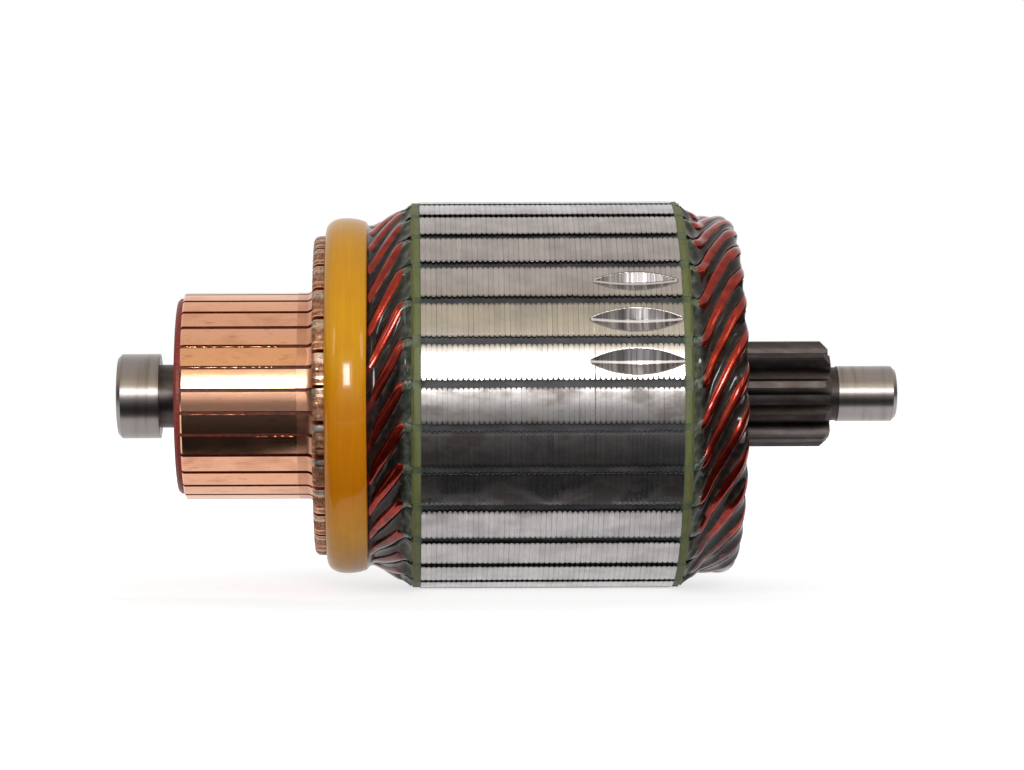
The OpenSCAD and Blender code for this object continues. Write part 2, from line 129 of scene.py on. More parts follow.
# %% A finish and its nodes
class Graph:
    """A node tree whose nodes are added one call at a time."""

    def __init__(self, tree):
        self.tree = tree
        where = self.node("TexCoord").outputs
        self.place, self.heading = where["Object"], where["Generated"]

    def node(self, kind, inputs=None, **settings):
        made = self.tree.nodes.new("ShaderNode" + kind)
        for key, value in settings.items():
            setattr(made, key, value)
        for socket, value in (inputs or {}).items():
            self.give(made.inputs[socket], value)
        return made

    def give(self, socket, value):
        """Links another node's output to a socket, or sets a plain value there."""
        if isinstance(value, bpy.types.NodeSocket):
            self.tree.links.new(value, socket)
        else:
            socket.default_value = value

    def noise(self, size, detail=3.0, stretch=(1, 1, 1)):
        """Cloudy values with spots about size mm wide, drawn out by stretch along X, Y and Z."""
        scale = [1 / (size * MM * s) for s in stretch]
        placed = self.node("Mapping", {"Vector": self.place, "Scale": scale})
        inputs = {"Vector": placed.outputs[0], "Scale": 1.0, "Detail": detail}
        return self.node("TexNoise", inputs).outputs["Fac"]

    def ramp(self, value, stops):
        """Turns a value into a colour by stops of (position, colour)."""
        made = self.node("ValToRGB", {"Fac": value})
        elements = made.color_ramp.elements
        while len(elements) < len(stops):
            elements.new(0.5)
        for element, (position, colour) in zip(elements, stops):
            element.position = position
            element.color = (*colour, 1.0)
        return made.outputs["Color"]

    def math(self, operation, a, b=0.0):
        return self.node("Math", {0: a, 1: b}, operation=operation).outputs[0]

    def fade(self, value, low, high, start=0.0, end=1.0):
        """Maps a value between low and high to start and end."""
        inputs = {"Value": value, "From Min": low, "From Max": high, "To Min": start, "To Max": end}
        return self.node("MapRange", inputs).outputs["Result"]

    def mix(self, factor, a, b, blend="MIX"):
        """Mixes two colours."""
        inputs = {0: factor, 6: a, 7: b}
        return self.node("Mix", inputs, data_type="RGBA", blend_type=blend).outputs[2]

    def axes(self):
        """The place along X, Y and Z as three values."""
        return self.node("SeparateXYZ", {0: self.place}).outputs

    def attribute(self, name):
        """A value that the mesh carries."""
        return self.node("Attribute", attribute_name=name).outputs["Fac"]


class Finish(Graph):
    """A material: a graph that feeds one shader."""

    def __init__(self, name, constants):
        self.material = bpy.data.materials.new(name)
        self.material.use_nodes = True
        super().__init__(self.material.node_tree)
        for socket, value in constants.items():
            self.set(socket, value)

    def set(self, socket, value):
        self.give(self.tree.nodes["Principled BSDF"].inputs[socket], value)

    def brush_round(self, amount, turned=0.25):
        """Stretches highlights along the shaft, as turning marks do, or round it for turned=0."""
        self.set("Tangent", self.node("Tangent", direction_type="RADIAL", axis="X").outputs[0])
        self.set("Anisotropic", amount)
        self.set("Anisotropic Rotation", turned)

    def bump(self, height, depth, strength=1.0):
        """Makes a value a relief, depth mm deep."""
        inputs = {"Height": height, "Distance": depth * MM, "Strength": strength}
        self.set("Normal", self.node("Bump", inputs).outputs["Normal"])


def rgb(red, green, blue):
    """A colour for a socket, from linear values."""
    return (red, green, blue, 1.0)


RINGS = (1, 1e6, 1e6)
print("finish helper ready")

# %% [markdown]
# ## Studio
# The photograph is a packshot on white. A softbox above the camera, brightest in its middle, draws the white
# line along every cylinder, and two dimmer ones at the sides draw short glints. Dark flags on the table
# in front and at both sides give the dark bands, and a grey card stands for the dim room behind the
# camera. Flags and cards are seen only by reflections.
# The floor and the world look white to the camera, and stay at a plain level for the light that falls
# on things. Shiny metal also sees them white, except for a warm ceiling overhead.

# %% White world
FILL_LEVEL = 0.45
world = bpy.data.worlds.new("white_studio")
world.use_nodes = True
scene.world = world
sky = Graph(world.node_tree)
background = sky.tree.nodes["Background"].inputs


def seen_directly(graph):
    """1 for camera, glossy and transmission rays, and 0 for the light that falls on things."""
    path = graph.node("LightPath").outputs
    seen = graph.math("MAXIMUM", path["Is Camera Ray"], path["Is Glossy Ray"])
    return graph.math("MAXIMUM", seen, path["Is Transmission Ray"])


sky.give(background["Strength"], sky.fade(seen_directly(sky), 0, 1, FILL_LEVEL))
print("world fill level:", FILL_LEVEL)

# %% Warm ceiling for reflections
CEILING = [
    (0.15, (0.82, 0.72, 0.49)), (0.354, (0.83, 0.77, 0.71)), (0.55, (0.79, 0.73, 0.67)),
    (0.78, (0.87, 0.83, 0.79)), (0.92, (1.0, 1.0, 1.0)),
]
backwards = sky.fade(sky.node("SeparateXYZ", {0: sky.heading}).outputs["Y"], -1, 1)
glossy = sky.node("LightPath").outputs["Is Glossy Ray"]
sky.give(background["Color"], sky.mix(glossy, rgb(1.0, 1.0, 1.0), sky.ramp(backwards, CEILING)))
print("ceiling shades:", len(CEILING))

# %% Floor
def flat_card(name, corners):
    """A single face, used for the floor and for the cards round the object."""
    mesh = bpy.data.meshes.new(name)
    mesh.from_pydata([Vector(c) for c in corners], [], [tuple(range(len(corners)))])
    card = bpy.data.objects.new(name, mesh)
    scene.collection.objects.link(card)
    return card


FLOOR_Z = -core_r
FLOOR_HALF = 3.0
FLOOR_WHITE = 0.7
FLOOR_SHADE = (0.06, 0.17)
FLOOR_MIDDLE = 60 * MM
CORNERS = [(-1, -1), (1, -1), (1, 1), (-1, 1)]
floor = flat_card("floor", [(x * FLOOR_HALF, y * FLOOR_HALF, FLOOR_Z) for x, y in CORNERS])
paper = Finish("white_paper", {
    "Base Color": rgb(0.45, 0.45, 0.45), "Roughness": 0.9, "Emission Color": rgb(1.0, 1.0, 1.0),
})
along, across = paper.axes()[0:2]
aside = paper.math("SUBTRACT", along, FLOOR_MIDDLE)
squares = [paper.math("MULTIPLY", v, v) for v in (aside, across)]
away = paper.math("SQRT", paper.math("ADD", *squares))
glow = paper.fade(away, *FLOOR_SHADE, FLOOR_WHITE)
paper.set("Emission Strength", paper.math("MULTIPLY", seen_directly(paper), glow))
floor.data.materials.append(paper.material)
print("floor at z in mm:", round(FLOOR_Z / MM, 2))


# %% Softboxes
LIT = Vector((62.0, 0.0, 0.0)) * MM


def softbox(name, far, turn, low, high, wide, glow):
    """A rectangular lamp, given by its distance and the angles under which the armature sees it."""
    lamp = bpy.data.lights.new(name, "AREA")
    lamp.shape = "RECTANGLE"
    lamp.size = 2 * far * tan(radians(wide / 2))
    lamp.size_y = 2 * far * tan(radians((high - low) / 2))
    lamp.energy = glow * pi * lamp.size * lamp.size_y
    rise, turn = radians((low + high) / 2), radians(turn)
    level = cos(rise)
    towards = Vector((sin(turn) * level, -cos(turn) * level, sin(rise)))
    box = bpy.data.objects.new(name, lamp)
    box.location = LIT + towards * far
    box.rotation_euler = towards.to_track_quat("Z", "Y").to_euler()
    box.visible_camera = False
    scene.collection.objects.link(box)
    return round(lamp.energy, 2)


SOFTBOXES = {
    "front_softbox": (1.0, 1, 4, 21, 20, 4.2), "softbox_core": (0.98, 2, 6, 19, 10, 30.0),
    "left_softbox": (0.5, -44, 22, 37, 10, 3.5), "right_softbox": (0.5, 36, 22, 37, 10, 3.5),
}
print("softboxes in W:", [softbox(name, *sizes) for name, sizes in SOFTBOXES.items()])


# %% Cards that only reflections see
def paint(made, name, values):
    """Stores one value for each point, for a finish to read."""
    made.data.attributes.new(name, "FLOAT", "POINT").data.foreach_set("value", np.ravel(values))


def reflected_card(name, corners, shades):
    """A card just outside the picture, with a grey for each corner."""
    card = flat_card(name, corners)
    card.visible_camera = card.visible_diffuse = False
    card.visible_shadow = card.visible_transmission = False
    paint(card, "shade", shades)
    finish = Finish(name, {
        "Base Color": rgb(0, 0, 0), "Roughness": 1.0, "Specular IOR Level": 0.0, "Emission Strength": 1.0,
    })
    finish.set("Emission Color", finish.attribute("shade"))
    card.data.materials.append(finish.material)


CARD_Z = FLOOR_Z + 0.5 * MM
FLAG_NEAR = [
    (-420, -25), (8, -26), (30, -29), (35, -36), (60, -38), (105, -38), (118, -33), (140, -29), (560, -28),
]
FLAG_FAR, ROOM_FAR = -0.126, -0.9
EDGE_NEAR, EDGE_FAR = -0.139, -0.149
FLAG_SHADES, SIDE_SHADE = (0.012, 0.07), 0.05
SIDE_X0, SIDE_X1, SIDE_TOP = -0.42, 0.56, 0.13
ROOM_TOP = -ROOM_FAR * tan(radians(4.5))
front = [(x * MM, y * MM, CARD_Z) for x, y in FLAG_NEAR]
back = [(SIDE_X1, FLAG_FAR, CARD_Z), (SIDE_X0, FLAG_FAR, CARD_Z)]
reflected_card("black_flag", front + back, [FLAG_SHADES[0]] * len(front) + [FLAG_SHADES[1]] * len(back))


def crosswise(name, near, far, shades):
    """A card from one side flag to the other, between two places (y, z)."""
    corners = [(SIDE_X0, *near), (SIDE_X1, *near), (SIDE_X1, *far), (SIDE_X0, *far)]
    reflected_card(name, corners, [shades[0]] * 2 + [shades[1]] * 2)


EDGE_Z = CARD_Z + 0.2 * MM
crosswise("grey_table", (FLAG_FAR, CARD_Z), (ROOM_FAR, CARD_Z), (0.18, 0.55))
crosswise("table_edge", (EDGE_NEAR, EDGE_Z), (EDGE_FAR, EDGE_Z), (0.9, 0.9))
crosswise("grey_room", (ROOM_FAR, CARD_Z), (ROOM_FAR, ROOM_TOP), (0.7, 0.95))
for name, x in (("left_flag", SIDE_X0), ("right_flag", SIDE_X1)):
    reflected_card(name, [
        (x, ROOM_FAR, CARD_Z), (x, -ROOM_FAR, CARD_Z), (x, -ROOM_FAR, SIDE_TOP), (x, ROOM_FAR, SIDE_TOP),
    ], [SIDE_SHADE] * 4)
print("side flags at x in m:", SIDE_X0, SIDE_X1)

# %% [markdown]
# ## Putting a mesh in the scene
# Finer pieces are computed as arrays of points and faces, because that gives exact control over where
# an edge lies. This helper makes the object, lets it ride on the armature's one body, gives it its
# material, and shades it smooth except at sharp edges.

# %% Piece helper
def piece(name, shape, finish, sharp, replaces=()):
    """A mesh object of the armature, from its points and faces."""
    points, faces = shape
    mesh = bpy.data.meshes.new(name)
    mesh.from_pydata(np.asarray(points).tolist(), [], [list(map(int, f)) for f in faces])
    mesh.validate()
    mesh.shade_smooth()
    mesh.set_sharp_from_angle(angle=radians(sharp))
    mesh.materials.append(finish.material)
    made = bpy.data.objects.new(name, mesh)
    scene.collection.objects.link(made)
    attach(made, "root")
    if replaces:
        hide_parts(*replaces)
    return made


def grid_faces(rows, columns, start=0, wrap=False):
    """Quads over a grid of points that is stored row by row."""
    i, j = np.indices((rows - 1, columns if wrap else columns - 1)).reshape(2, -1)
    after = (j + 1) % columns
    quads = [i * columns + j, i * columns + after, (i + 1) * columns + after, (i + 1) * columns + j]
    return np.stack(quads, 1) + start


def joined(grids):
    """Points and faces of several grids of points, all of one size."""
    rows, columns = grids[0].shape[:2]
    faces = [grid_faces(rows, columns, k * rows * columns) for k in range(len(grids))]
    return np.concatenate([g.reshape(-1, 3) for g in grids]), np.concatenate(faces)


def polar(x, radius, angle):
    """Points from places along the shaft, radii and angles from +Y towards +Z."""
    x, radius, angle = np.broadcast_arrays(x, radius, angle)
    return np.stack([x, radius * np.cos(angle), radius * np.sin(angle)], -1)


print("piece helpers ready")

# %% [markdown]
# ## Finish of the sheet-steel core
# The core's sheets are stamped, stacked and then turned together to size. The turned tooth tips are
# bare steel: fine lines run round the shaft, a thin dark seam parts the sheets, and old varnish and
# oil leave cloudy stains. The seams and the tone of single sheets come from attributes that the mesh
# carries, because only the mesh knows where a sheet ends. The seam attribute also carries painted
# shade: the slot walls, the tooth edges and the rims round the balance cuts are painted dark. The
# balance cuts are milled: streaks run across them, and a painted highlight, a much brighter colour
# on the cutter's flat, draws a bright line along the bottom.

# %% Core finish
STEEL_TINT = rgb(1.0, 0.945, 0.95)
steel = Finish("turned_sheet_edges", {"Metallic": 1.0})
tone = steel.mix(1.0, steel.attribute("sheet_tone"), STEEL_TINT, "MULTIPLY")
seam_and_shade = steel.attribute("seam_and_painted_shade")
stain = steel.attribute("tooth_stain")
clouds = steel.noise(4.5, 6.0, (1.8, 1, 1))
fine = steel.noise(0.3, 4.0, (0.6, 8, 8))
wide = steel.noise(2.2, 3.0, (0.5, 8, 8))
patches = steel.math("MULTIPLY", steel.fade(clouds, 0.42, 0.62), stain)
bare = steel.mix(steel.fade(fine, 0.35, 0.7, 0.0, 0.3), tone, rgb(0.24, 0.23, 0.225))
bare = steel.mix(steel.fade(wide, 0.45, 0.75, 0.0, 0.25), bare, rgb(0.58, 0.57, 0.56))
stained = steel.mix(patches, bare, rgb(0.17, 0.15, 0.145))
# Painted shade: besides the sheet seams, the seam attribute darkens the slot walls, the tooth edges and the
# rims round the cuts.
steel.set("Base Color", steel.mix(seam_and_shade, stained, rgb(0.06, 0.055, 0.055)))
steel.set("Roughness", steel.fade(steel.math("ADD", patches, fine), 0.3, 1.5, 0.24, 0.56))
steel.brush_round(0.6)
steel.bump(fine, 0.006, 0.5)
print("core finish:", steel.material.name)

# %% Finish of the balance cuts
mill = Finish("milled_steel", {"Metallic": 1.0})
chatter = mill.noise(0.9, 4.0, (0.6, 30, 30))
fresh = mill.ramp(chatter, [
    (0.35, (0.11, 0.102, 0.105)), (0.5, (0.22, 0.205, 0.211)), (0.65, (0.40, 0.377, 0.39)),
])
edges = mill.math("MULTIPLY", mill.attribute("seam_and_painted_shade"), 0.6)
fresh = mill.mix(edges, fresh, rgb(0.2, 0.19, 0.19))
painted_cut_highlight = mill.attribute("cut_bottom_highlight")
# Painted highlight: a much brighter steel on the cut's bottom draws the bright line there.
mill.set("Base Color", mill.mix(painted_cut_highlight, fresh, rgb(0.60, 0.575, 0.59)))
grooved = mill.fade(chatter, 0.3, 0.7, 0.44, 0.36)
mill.set("Roughness", mill.math("ADD", grooved, mill.fade(painted_cut_highlight, 0, 1, 0.0, 0.2)))
mill.brush_round(mill.fade(painted_cut_highlight, 0, 1, 0.8, 0.0), 0.0)
print("finish of the cuts:", mill.material.name)

# %% [markdown]
# ## Sheet-steel core
# A plain cylinder would look like one billet. On the real core each sheet's tooth tip has rounded
# corners, so the edges of every slot read as a row of small beads. Each tooth is built as a strip of
# points: round the tip in one direction, and sheet by sheet along the shaft in the other. At a seam
# the corners of the strip draw back. Three teeth carry milled balance cuts, and there the strip is
# finer, and each point drops to the cutter's surface where that is deeper.

# %% Sizes of the teeth
MOUTH = 1.36 * MM
TIP_R = 0.03 * MM
BEAD_DEPTH = 0.5 * MM
NOTCH = 0.12 * MM
LIP_R = core_r - 1.3 * MM
CUT_DEPTHS = {-1: 1.3 * MM, -2: 1.24 * MM, -3: 1.05 * MM}
CUTTER_R = 32 * MM
CUT_SLOPE = 1.8
CUT_FLAT = 0.7 * MM
# Half-width of the painted highlight along a cut's bottom.
HIGHLIGHT_HALF = 0.2 * MM
CUT_X = core_x1 - 8.9 * MM
CUT_REACH = 10 * MM
CUT_LEAST = 0.01 * MM
SHEET_SHIFT = 0.035 * MM
sheet_t = (core_x1 - core_x0) / SHEETS
half_tip = core_r * sin(PITCH / 2) - MOUTH / 2


def cut_surface(x, across, depth):
    """Height of the milling cutter's surface over the shaft axis, along the tooth's middle."""
    edge_r = CUTTER_R - np.maximum(np.abs(across) - CUT_FLAT / 2, 0) / CUT_SLOPE
    inside = np.maximum(edge_r**2 - (x - CUT_X) ** 2, 0)
    height = core_r - depth + CUTTER_R - np.sqrt(inside)
    return np.where(inside > 0, height, core_r * 2)


print("tooth tip in mm:", round(2 * half_tip / MM, 2), "sheet in mm:", round(sheet_t / MM, 2))

# %% Seams between the sheets
OPEN_SEAM = 33
WIDER_SEAMS = [3, 9, 17, 25, 38]
seam_rng = np.random.default_rng(11)
seam_depth = seam_rng.uniform(0.002, 0.008, SHEETS + 1) * MM
seam_dark = seam_rng.uniform(0.4, 0.95, SHEETS + 1)
seam_depth[WIDER_SEAMS], seam_dark[WIDER_SEAMS] = 0.015 * MM, 0.9
seam_depth[OPEN_SEAM], seam_dark[OPEN_SEAM] = 0.04 * MM, 1.0
print("seams:", SHEETS - 1, "deepest in mm:", round(float(seam_depth.max()) / MM, 3))


# %% One tooth
COARSE = np.array([0.0, 0.1, 0.25, 0.5, 0.75, 0.9])
FINE = np.array([0.0, 0.1, 0.25, 0.41, 0.59, 0.75, 0.9])


def sheet_stations(is_cut):
    """Rings along the shaft: x, the place in its sheet from 0 to 1, the sheet and the nearest seam."""
    steps = []
    for sheet in range(SHEETS):
        middle = core_x0 + (sheet + 0.5) * sheet_t
        steps.append(sheet + (FINE if is_cut and abs(middle - CUT_X) < CUT_REACH else COARSE))
    along = np.append(np.concatenate(steps), SHEETS)
    sheet = np.minimum(np.floor(along + 1e-6).astype(int), SHEETS - 1)
    return core_x0 + along * sheet_t, along % 1.0, sheet, np.round(along).astype(int)


def tooth(index, stations):
    """Points over one tooth tip from wall to wall, the milled ones, and those on a cut's bottom, which get a
    painted highlight.
    """
    x, within, sheet, nearest = stations
    shift = np.random.default_rng(100 + index % SLOTS).normal(0, SHEET_SHIFT, SHEETS)[sheet]
    draw = BEAD_DEPTH * (1 - np.sqrt(1 - (2 * within - 1) ** 2))
    sink = np.where(within == 0, seam_depth[nearest], 0.0)
    sides = []
    for side in (-1, 1):
        wall = side * (half_tip - draw) + shift
        brow = wall - side * TIP_R
        top = np.sqrt(core_r**2 - brow**2) - sink - draw * 0.12
        sides.append(([wall, wall, brow], [np.full_like(x, LIP_R), top - TIP_R, top]))
    flat = half_tip - TIP_R - BEAD_DEPTH - 2 * NOTCH
    across = np.array([-1, -0.33, 0.33, 1]) * flat
    depth = CUT_DEPTHS.get(index)
    if depth:
        across = np.append(np.linspace(-1, 1, 41) * flat, [-CUT_FLAT / 2, CUT_FLAT / 2])
    across = np.sort(np.append(across, [-flat - NOTCH, flat + NOTCH]))
    inset = across + shift[:, None] * 0.3
    surface = np.sqrt(core_r**2 - inset**2) - sink[:, None]
    cut = cut_surface(x[:, None], inset, depth) if depth else surface + MM
    milled = np.pad(cut < surface - CUT_LEAST, ((0, 0), (3, 3))).astype(float)
    (left, left_height), (right, right_height) = sides
    middle = np.minimum(surface, cut - sink[:, None] * 0.3)
    offset = np.column_stack([*left, inset, *right[::-1]])
    height = np.column_stack([*left_height, middle, *right_height[::-1]])
    angle = slot_angle(index + 0.5)
    y = height * cos(angle) - offset * sin(angle)
    z = height * sin(angle) + offset * cos(angle)
    points = np.stack([np.broadcast_to(x[:, None], y.shape), y, z], -1)
    return points, milled, np.abs(offset) < HIGHLIGHT_HALF


print("rings on a plain tooth:", len(sheet_stations(False)[0]))

# %% All teeth
STAINED = {-1: 0.1, -2: 0.3, 0: 0.8, 1: 1.0, 2: 1.0, 3: 0.35}
STAIN = 0.25
STEEL_TONE, TOOTH_SPREAD, SHEET_SPREAD = 0.54, 0.012, 0.02
# Painted shade on the slot walls, on the tooth edges and on the rims round the milled cuts.
WALL_SHADE, BROW_SHADE, RIM_SHADE = 0.95, 0.55, 0.8


def core_piece(name, indices, finish, sharp, cuts):
    """Some tooth tips as one piece: only their milled faces, or all the others."""
    stations = sheet_stations(indices[0] in CUT_DEPTHS)
    _, within, sheet, nearest = stations
    strips, values = [], []
    for index in indices:
        strip, milled, painted_cut_highlight = tooth(index, stations)
        rng = np.random.default_rng(500 + index % SLOTS)
        tone = STEEL_TONE + rng.normal(0, TOOTH_SPREAD) + rng.normal(0, SHEET_SPREAD, SHEETS)[sheet]
        darkness = seam_dark * rng.uniform(0.5, 1.0, SHEETS + 1)
        seam_and_shade = np.where(within == 0, darkness[nearest], 0.0)
        seam_and_shade = seam_and_shade[:, None] * (0.75 + 0.25 * np.linspace(-1, 1, strip.shape[1]) ** 2)
        # Painted shade: the tooth edges, the slot walls and the rims round the milled cuts are darkened.
        seam_and_shade[:, [2, -3]] = np.maximum(seam_and_shade[:, [2, -3]], BROW_SHADE)
        seam_and_shade[:, [0, 1, -2, -1]] = WALL_SHADE
        beside = np.pad(milled, 1)
        beside = [beside[:-2, 1:-1], beside[2:, 1:-1], beside[1:-1, :-2], beside[1:-1, 2:]]
        seam_and_shade = np.maximum(seam_and_shade, RIM_SHADE * (np.maximum.reduce(beside) > milled))
        stain = np.full_like(seam_and_shade, STAINED.get(index, STAIN))
        tone = np.broadcast_to(tone[:, None], seam_and_shade.shape)
        values.append(np.stack([tone, seam_and_shade, stain, painted_cut_highlight, milled], -1).reshape(-1, 5))
        strips.append(strip)
    points, faces = joined(strips)
    values = np.concatenate(values)
    faces = faces[(values[faces, 4].min(1) > 0.5) == cuts]
    used, renumbered = np.unique(faces, return_inverse=True)
    faces = renumbered.reshape(faces.shape)
    made = piece(name, (points[used], faces), finish, sharp, ["core_stack"])
    for column, attribute in enumerate(["sheet_tone", "seam_and_painted_shade", "tooth_stain", "cut_bottom_highlight"]):
        paint(made, attribute, values[used, column])
    return len(made.data.polygons)


plain = [k if k <= SLOTS // 2 else k - SLOTS for k in range(SLOTS)]
plain = [k for k in plain if k not in CUT_DEPTHS]
balanced = sorted(CUT_DEPTHS)
print("faces of plain teeth:", core_piece("sheet_core", plain, steel, 30, False))
print("faces of balanced teeth:", core_piece("balanced_teeth", balanced, steel, 30, False))
print("faces of balance cuts:", core_piece("balance_cuts", balanced, mill, 17, True))

# %% [markdown]
# ## Insulating end plates and slot liners
# A plate of green pressed fibre lies on each end of the stack, and a sheet of the same family lines
# every slot. Their solids have the right shape already, so they only need a finish: olive fibre that
# turns brown and dark towards the winding, and a darker, varnished grey for the liners.

# %% Fibre and liner finishes
def dress(finish, *names):
    """Gives solids of the frame their material."""
    for name in names:
        nodes[name].data.materials.clear()
        nodes[name].data.materials.append(finish.material)


def beyond_core(finish):
    """How far a place lies outside the ends of the core, along the shaft."""
    along = finish.axes()[0]
    from_middle = finish.math("ABSOLUTE", finish.math("SUBTRACT", along, (core_x0 + core_x1) / 2))
    return finish.math("SUBTRACT", from_middle, (core_x1 - core_x0) / 2)


PLATE_T = core_x0 - plate_x0
fibre = Finish("green_fibre", {"Roughness": 0.55, "Specular IOR Level": 0.35})
streaks = fibre.noise(0.5, 4.0, (0.6, 8, 8))
mottle = fibre.noise(3, 4.0)
layers = fibre.ramp(fibre.fade(beyond_core(fibre), 0, PLATE_T), [
    (0.02, (0.09, 0.10, 0.05)), (0.2, (0.115, 0.135, 0.05)), (0.5, (0.115, 0.13, 0.035)),
    (0.75, (0.09, 0.088, 0.018)),
])
streaked = fibre.mix(fibre.fade(streaks, 0.35, 0.7, 0.0, 0.45), layers, rgb(0.16, 0.185, 0.08))
mottled = fibre.mix(fibre.fade(mottle, 0.5, 0.7, 0.0, 0.5), streaked, rgb(0.07, 0.09, 0.032))
fibre.set("Base Color", mottled)
fibre.bump(streaks, 0.03)
dress(fibre, "rear_end_plate", "gear_end_plate")
liner = Finish("varnished_liner", {"Roughness": 0.5, "Specular IOR Level": 0.3})
dull = liner.noise(1.2, 4.0, (3, 1, 1))
violet = liner.ramp(dull, [
    (0.3, (0.024, 0.032, 0.030)), (0.5, (0.040, 0.038, 0.043)), (0.7, (0.066, 0.058, 0.070)),
])
teal = liner.ramp(dull, [(0.3, (0.022, 0.036, 0.031)), (0.7, (0.055, 0.085, 0.074))])
smear = liner.ramp(dull, [
    (0.3, (0.055, 0.072, 0.042)), (0.5, (0.098, 0.112, 0.052)), (0.7, (0.125, 0.140, 0.085)),
])
beyond = beyond_core(liner)
inside = liner.mix(liner.fade(beyond, -4 * MM, 0, 0.0, 0.7), violet, teal)
liner.set("Base Color", liner.mix(liner.fade(beyond, -0.3 * MM, 0.3 * MM), inside, smear))
liner.bump(dull, 0.02)
dress(liner, "slot_liners")
print("plates and liners dressed")

# %% [markdown]
# ## Varnish in the slot mouths
# Varnish also runs into the mouth of every slot and dries a little below the tooth tips. It is a
# shallow trough from tooth to tooth, as long as the core, and it closes the notches in the plates.

# %% Slot varnish
FILL_R = core_r - 0.75 * MM
TROUGH = np.array([0.10, 0.03, 0.0, 0.03, 0.10]) * MM
FILL_HALF = MOUTH / 2 + BEAD_DEPTH + 0.05 * MM
FILL_LIFT = 0.45 * MM
FILL_INSET, FILL_FAR, FILL_NEAR, FILL_START = 0.3 * MM, 0.6 * MM, 0.1 * MM, 0.4 * MM
FILL_WAVE = 0.05 * MM


def wander(count, seed, size, knots=16):
    """A small random wander along a line of count points."""
    drawn = np.random.default_rng(seed).normal(0, size, knots)
    return np.interp(np.linspace(0, knots - 1, count), np.arange(knots), drawn)


def slot_fill(k):
    """The trough in slot k, with a slight wave along its length."""
    left = [plate_x0 + FILL_INSET, core_x0 - FILL_FAR, core_x0 - FILL_NEAR]
    right = [core_x1 + FILL_NEAR, core_x1 + FILL_FAR, plate_x1 - FILL_INSET]
    x = np.concatenate([left, np.linspace(core_x0 + FILL_START, core_x1 - FILL_START, 60), right])
    lift = np.where((x < core_x0) | (x > core_x1), FILL_LIFT, 0.0)
    radius = (FILL_R + lift + wander(len(x), 40 + k, FILL_WAVE, 21))[:, None] + TROUGH
    offset = np.linspace(-FILL_HALF, FILL_HALF, len(TROUGH)) / FILL_R
    return polar(x[:, None], radius, slot_angle(k) + offset)


made = piece("slot_varnish", joined([slot_fill(k) for k in range(SLOTS)]), liner, 80)
print("slot varnish faces:", len(made.data.polygons))

# %% [markdown]
# ## Commutator
# The copper bars are turned and polished, so they mirror the softbox and the flag. The last stretch
# before the risers is not turned and looks duller. A bevel breaks the sharp edges of the solids, as
# a deburring tool does, and gives each gap between bars its thin bright line.

# %% Copper finish
UNTURNED_X = 32.1 * MM
BAR_EDGE = 0.13 * MM
FINISH_STEP = 0.1 * MM
copper = Finish("turned_copper", {"Metallic": 1.0})
along = copper.axes()[0]
lines = copper.noise(0.12, 2.0, RINGS)
smears = copper.noise(3, 5.0, (2, 1, 1))
scuffs = copper.noise(0.8, 4.0, (4, 1, 1))
bright = copper.ramp(lines, [(0.3, (0.80, 0.42, 0.27)), (0.7, (0.87, 0.48, 0.315))])
dulled = copper.mix(copper.fade(smears, 0.48, 0.72, 0.0, 0.6), bright, rgb(0.62, 0.28, 0.175))
dulled = copper.mix(copper.fade(scuffs, 0.6, 0.76, 0.0, 0.6), dulled, rgb(0.44, 0.17, 0.10))
raw = copper.fade(along, UNTURNED_X - FINISH_STEP, UNTURNED_X + FINISH_STEP)
unturned = copper.ramp(smears, [(0.35, (0.64, 0.32, 0.20)), (0.65, (0.79, 0.43, 0.285))])
copper.set("Base Color", copper.mix(raw, dulled, unturned))
turned_rough = copper.fade(smears, 0.45, 0.75, 0.0, 0.1)
copper.set("Roughness", copper.math("ADD", turned_rough, copper.fade(raw, 0, 1, 0.19, 0.34)))
copper.brush_round(0.7)
copper.bump(lines, 0.003, 0.4)
dress(copper, "commutator_bars")


def break_edges(node, width):
    """Rounds the sharp edges of a solid with a bevel."""
    bevel = nodes[node].modifiers.new("broken_edges", "BEVEL")
    bevel.width = width
    bevel.segments = 2
    bevel.limit_method = "ANGLE"
    bevel.angle_limit = radians(30)


break_edges("commutator_bars", BAR_EDGE)
mica = Finish("undercut_mica", {"Roughness": 0.6})
grain = mica.noise(0.5, 3.0, (2, 1, 1))
mica.set("Base Color", mica.ramp(grain, [(0.35, (0.05, 0.010, 0.007)), (0.7, (0.17, 0.035, 0.02))]))
dress(mica, "mica_strips")
resin = Finish("moulded_resin", {"Roughness": 0.42, "Specular IOR Level": 0.25})
specks = resin.noise(0.5, 4.0)
resin.set("Base Color", resin.ramp(specks, [(0.3, (0.16, 0.022, 0.018)), (0.7, (0.30, 0.045, 0.033))]))
resin.bump(specks, 0.02)
dress(resin, "commutator_hub")
print("commutator dressed")

# %% Flares of the bars
FLARE_R = 1.6 * MM
BAR_GAP = 0.75 * MM
FLARE_INSET = 0.02 * MM


def flare(k):
    """The hollow curve from the track of bar k up to its riser, closed at both sides."""
    a = np.radians(np.linspace(2, 88, 11))
    x = riser_x0 - FLARE_R * (1 - np.sin(a))
    radius = TRACK_R + FLARE_R * (1 - np.cos(a))
    half = (radius * sin(PITCH / 2) - BAR_GAP / 2 - FLARE_INSET) / radius
    foot_x, foot_r = np.full_like(x, riser_x0), np.full_like(x, TRACK_R)
    columns = [(foot_x, foot_r, -half), (x, radius, -half), (x, radius, half), (foot_x, foot_r, half)]
    middle = slot_angle(k + 0.5)
    return np.stack([polar(cx, cr, middle + angle) for cx, cr, angle in columns], 1)


made = piece("bar_flares", joined([flare(k) for k in range(SLOTS)]), copper, 40)
print("flares:", SLOTS, "faces:", len(made.data.polygons))

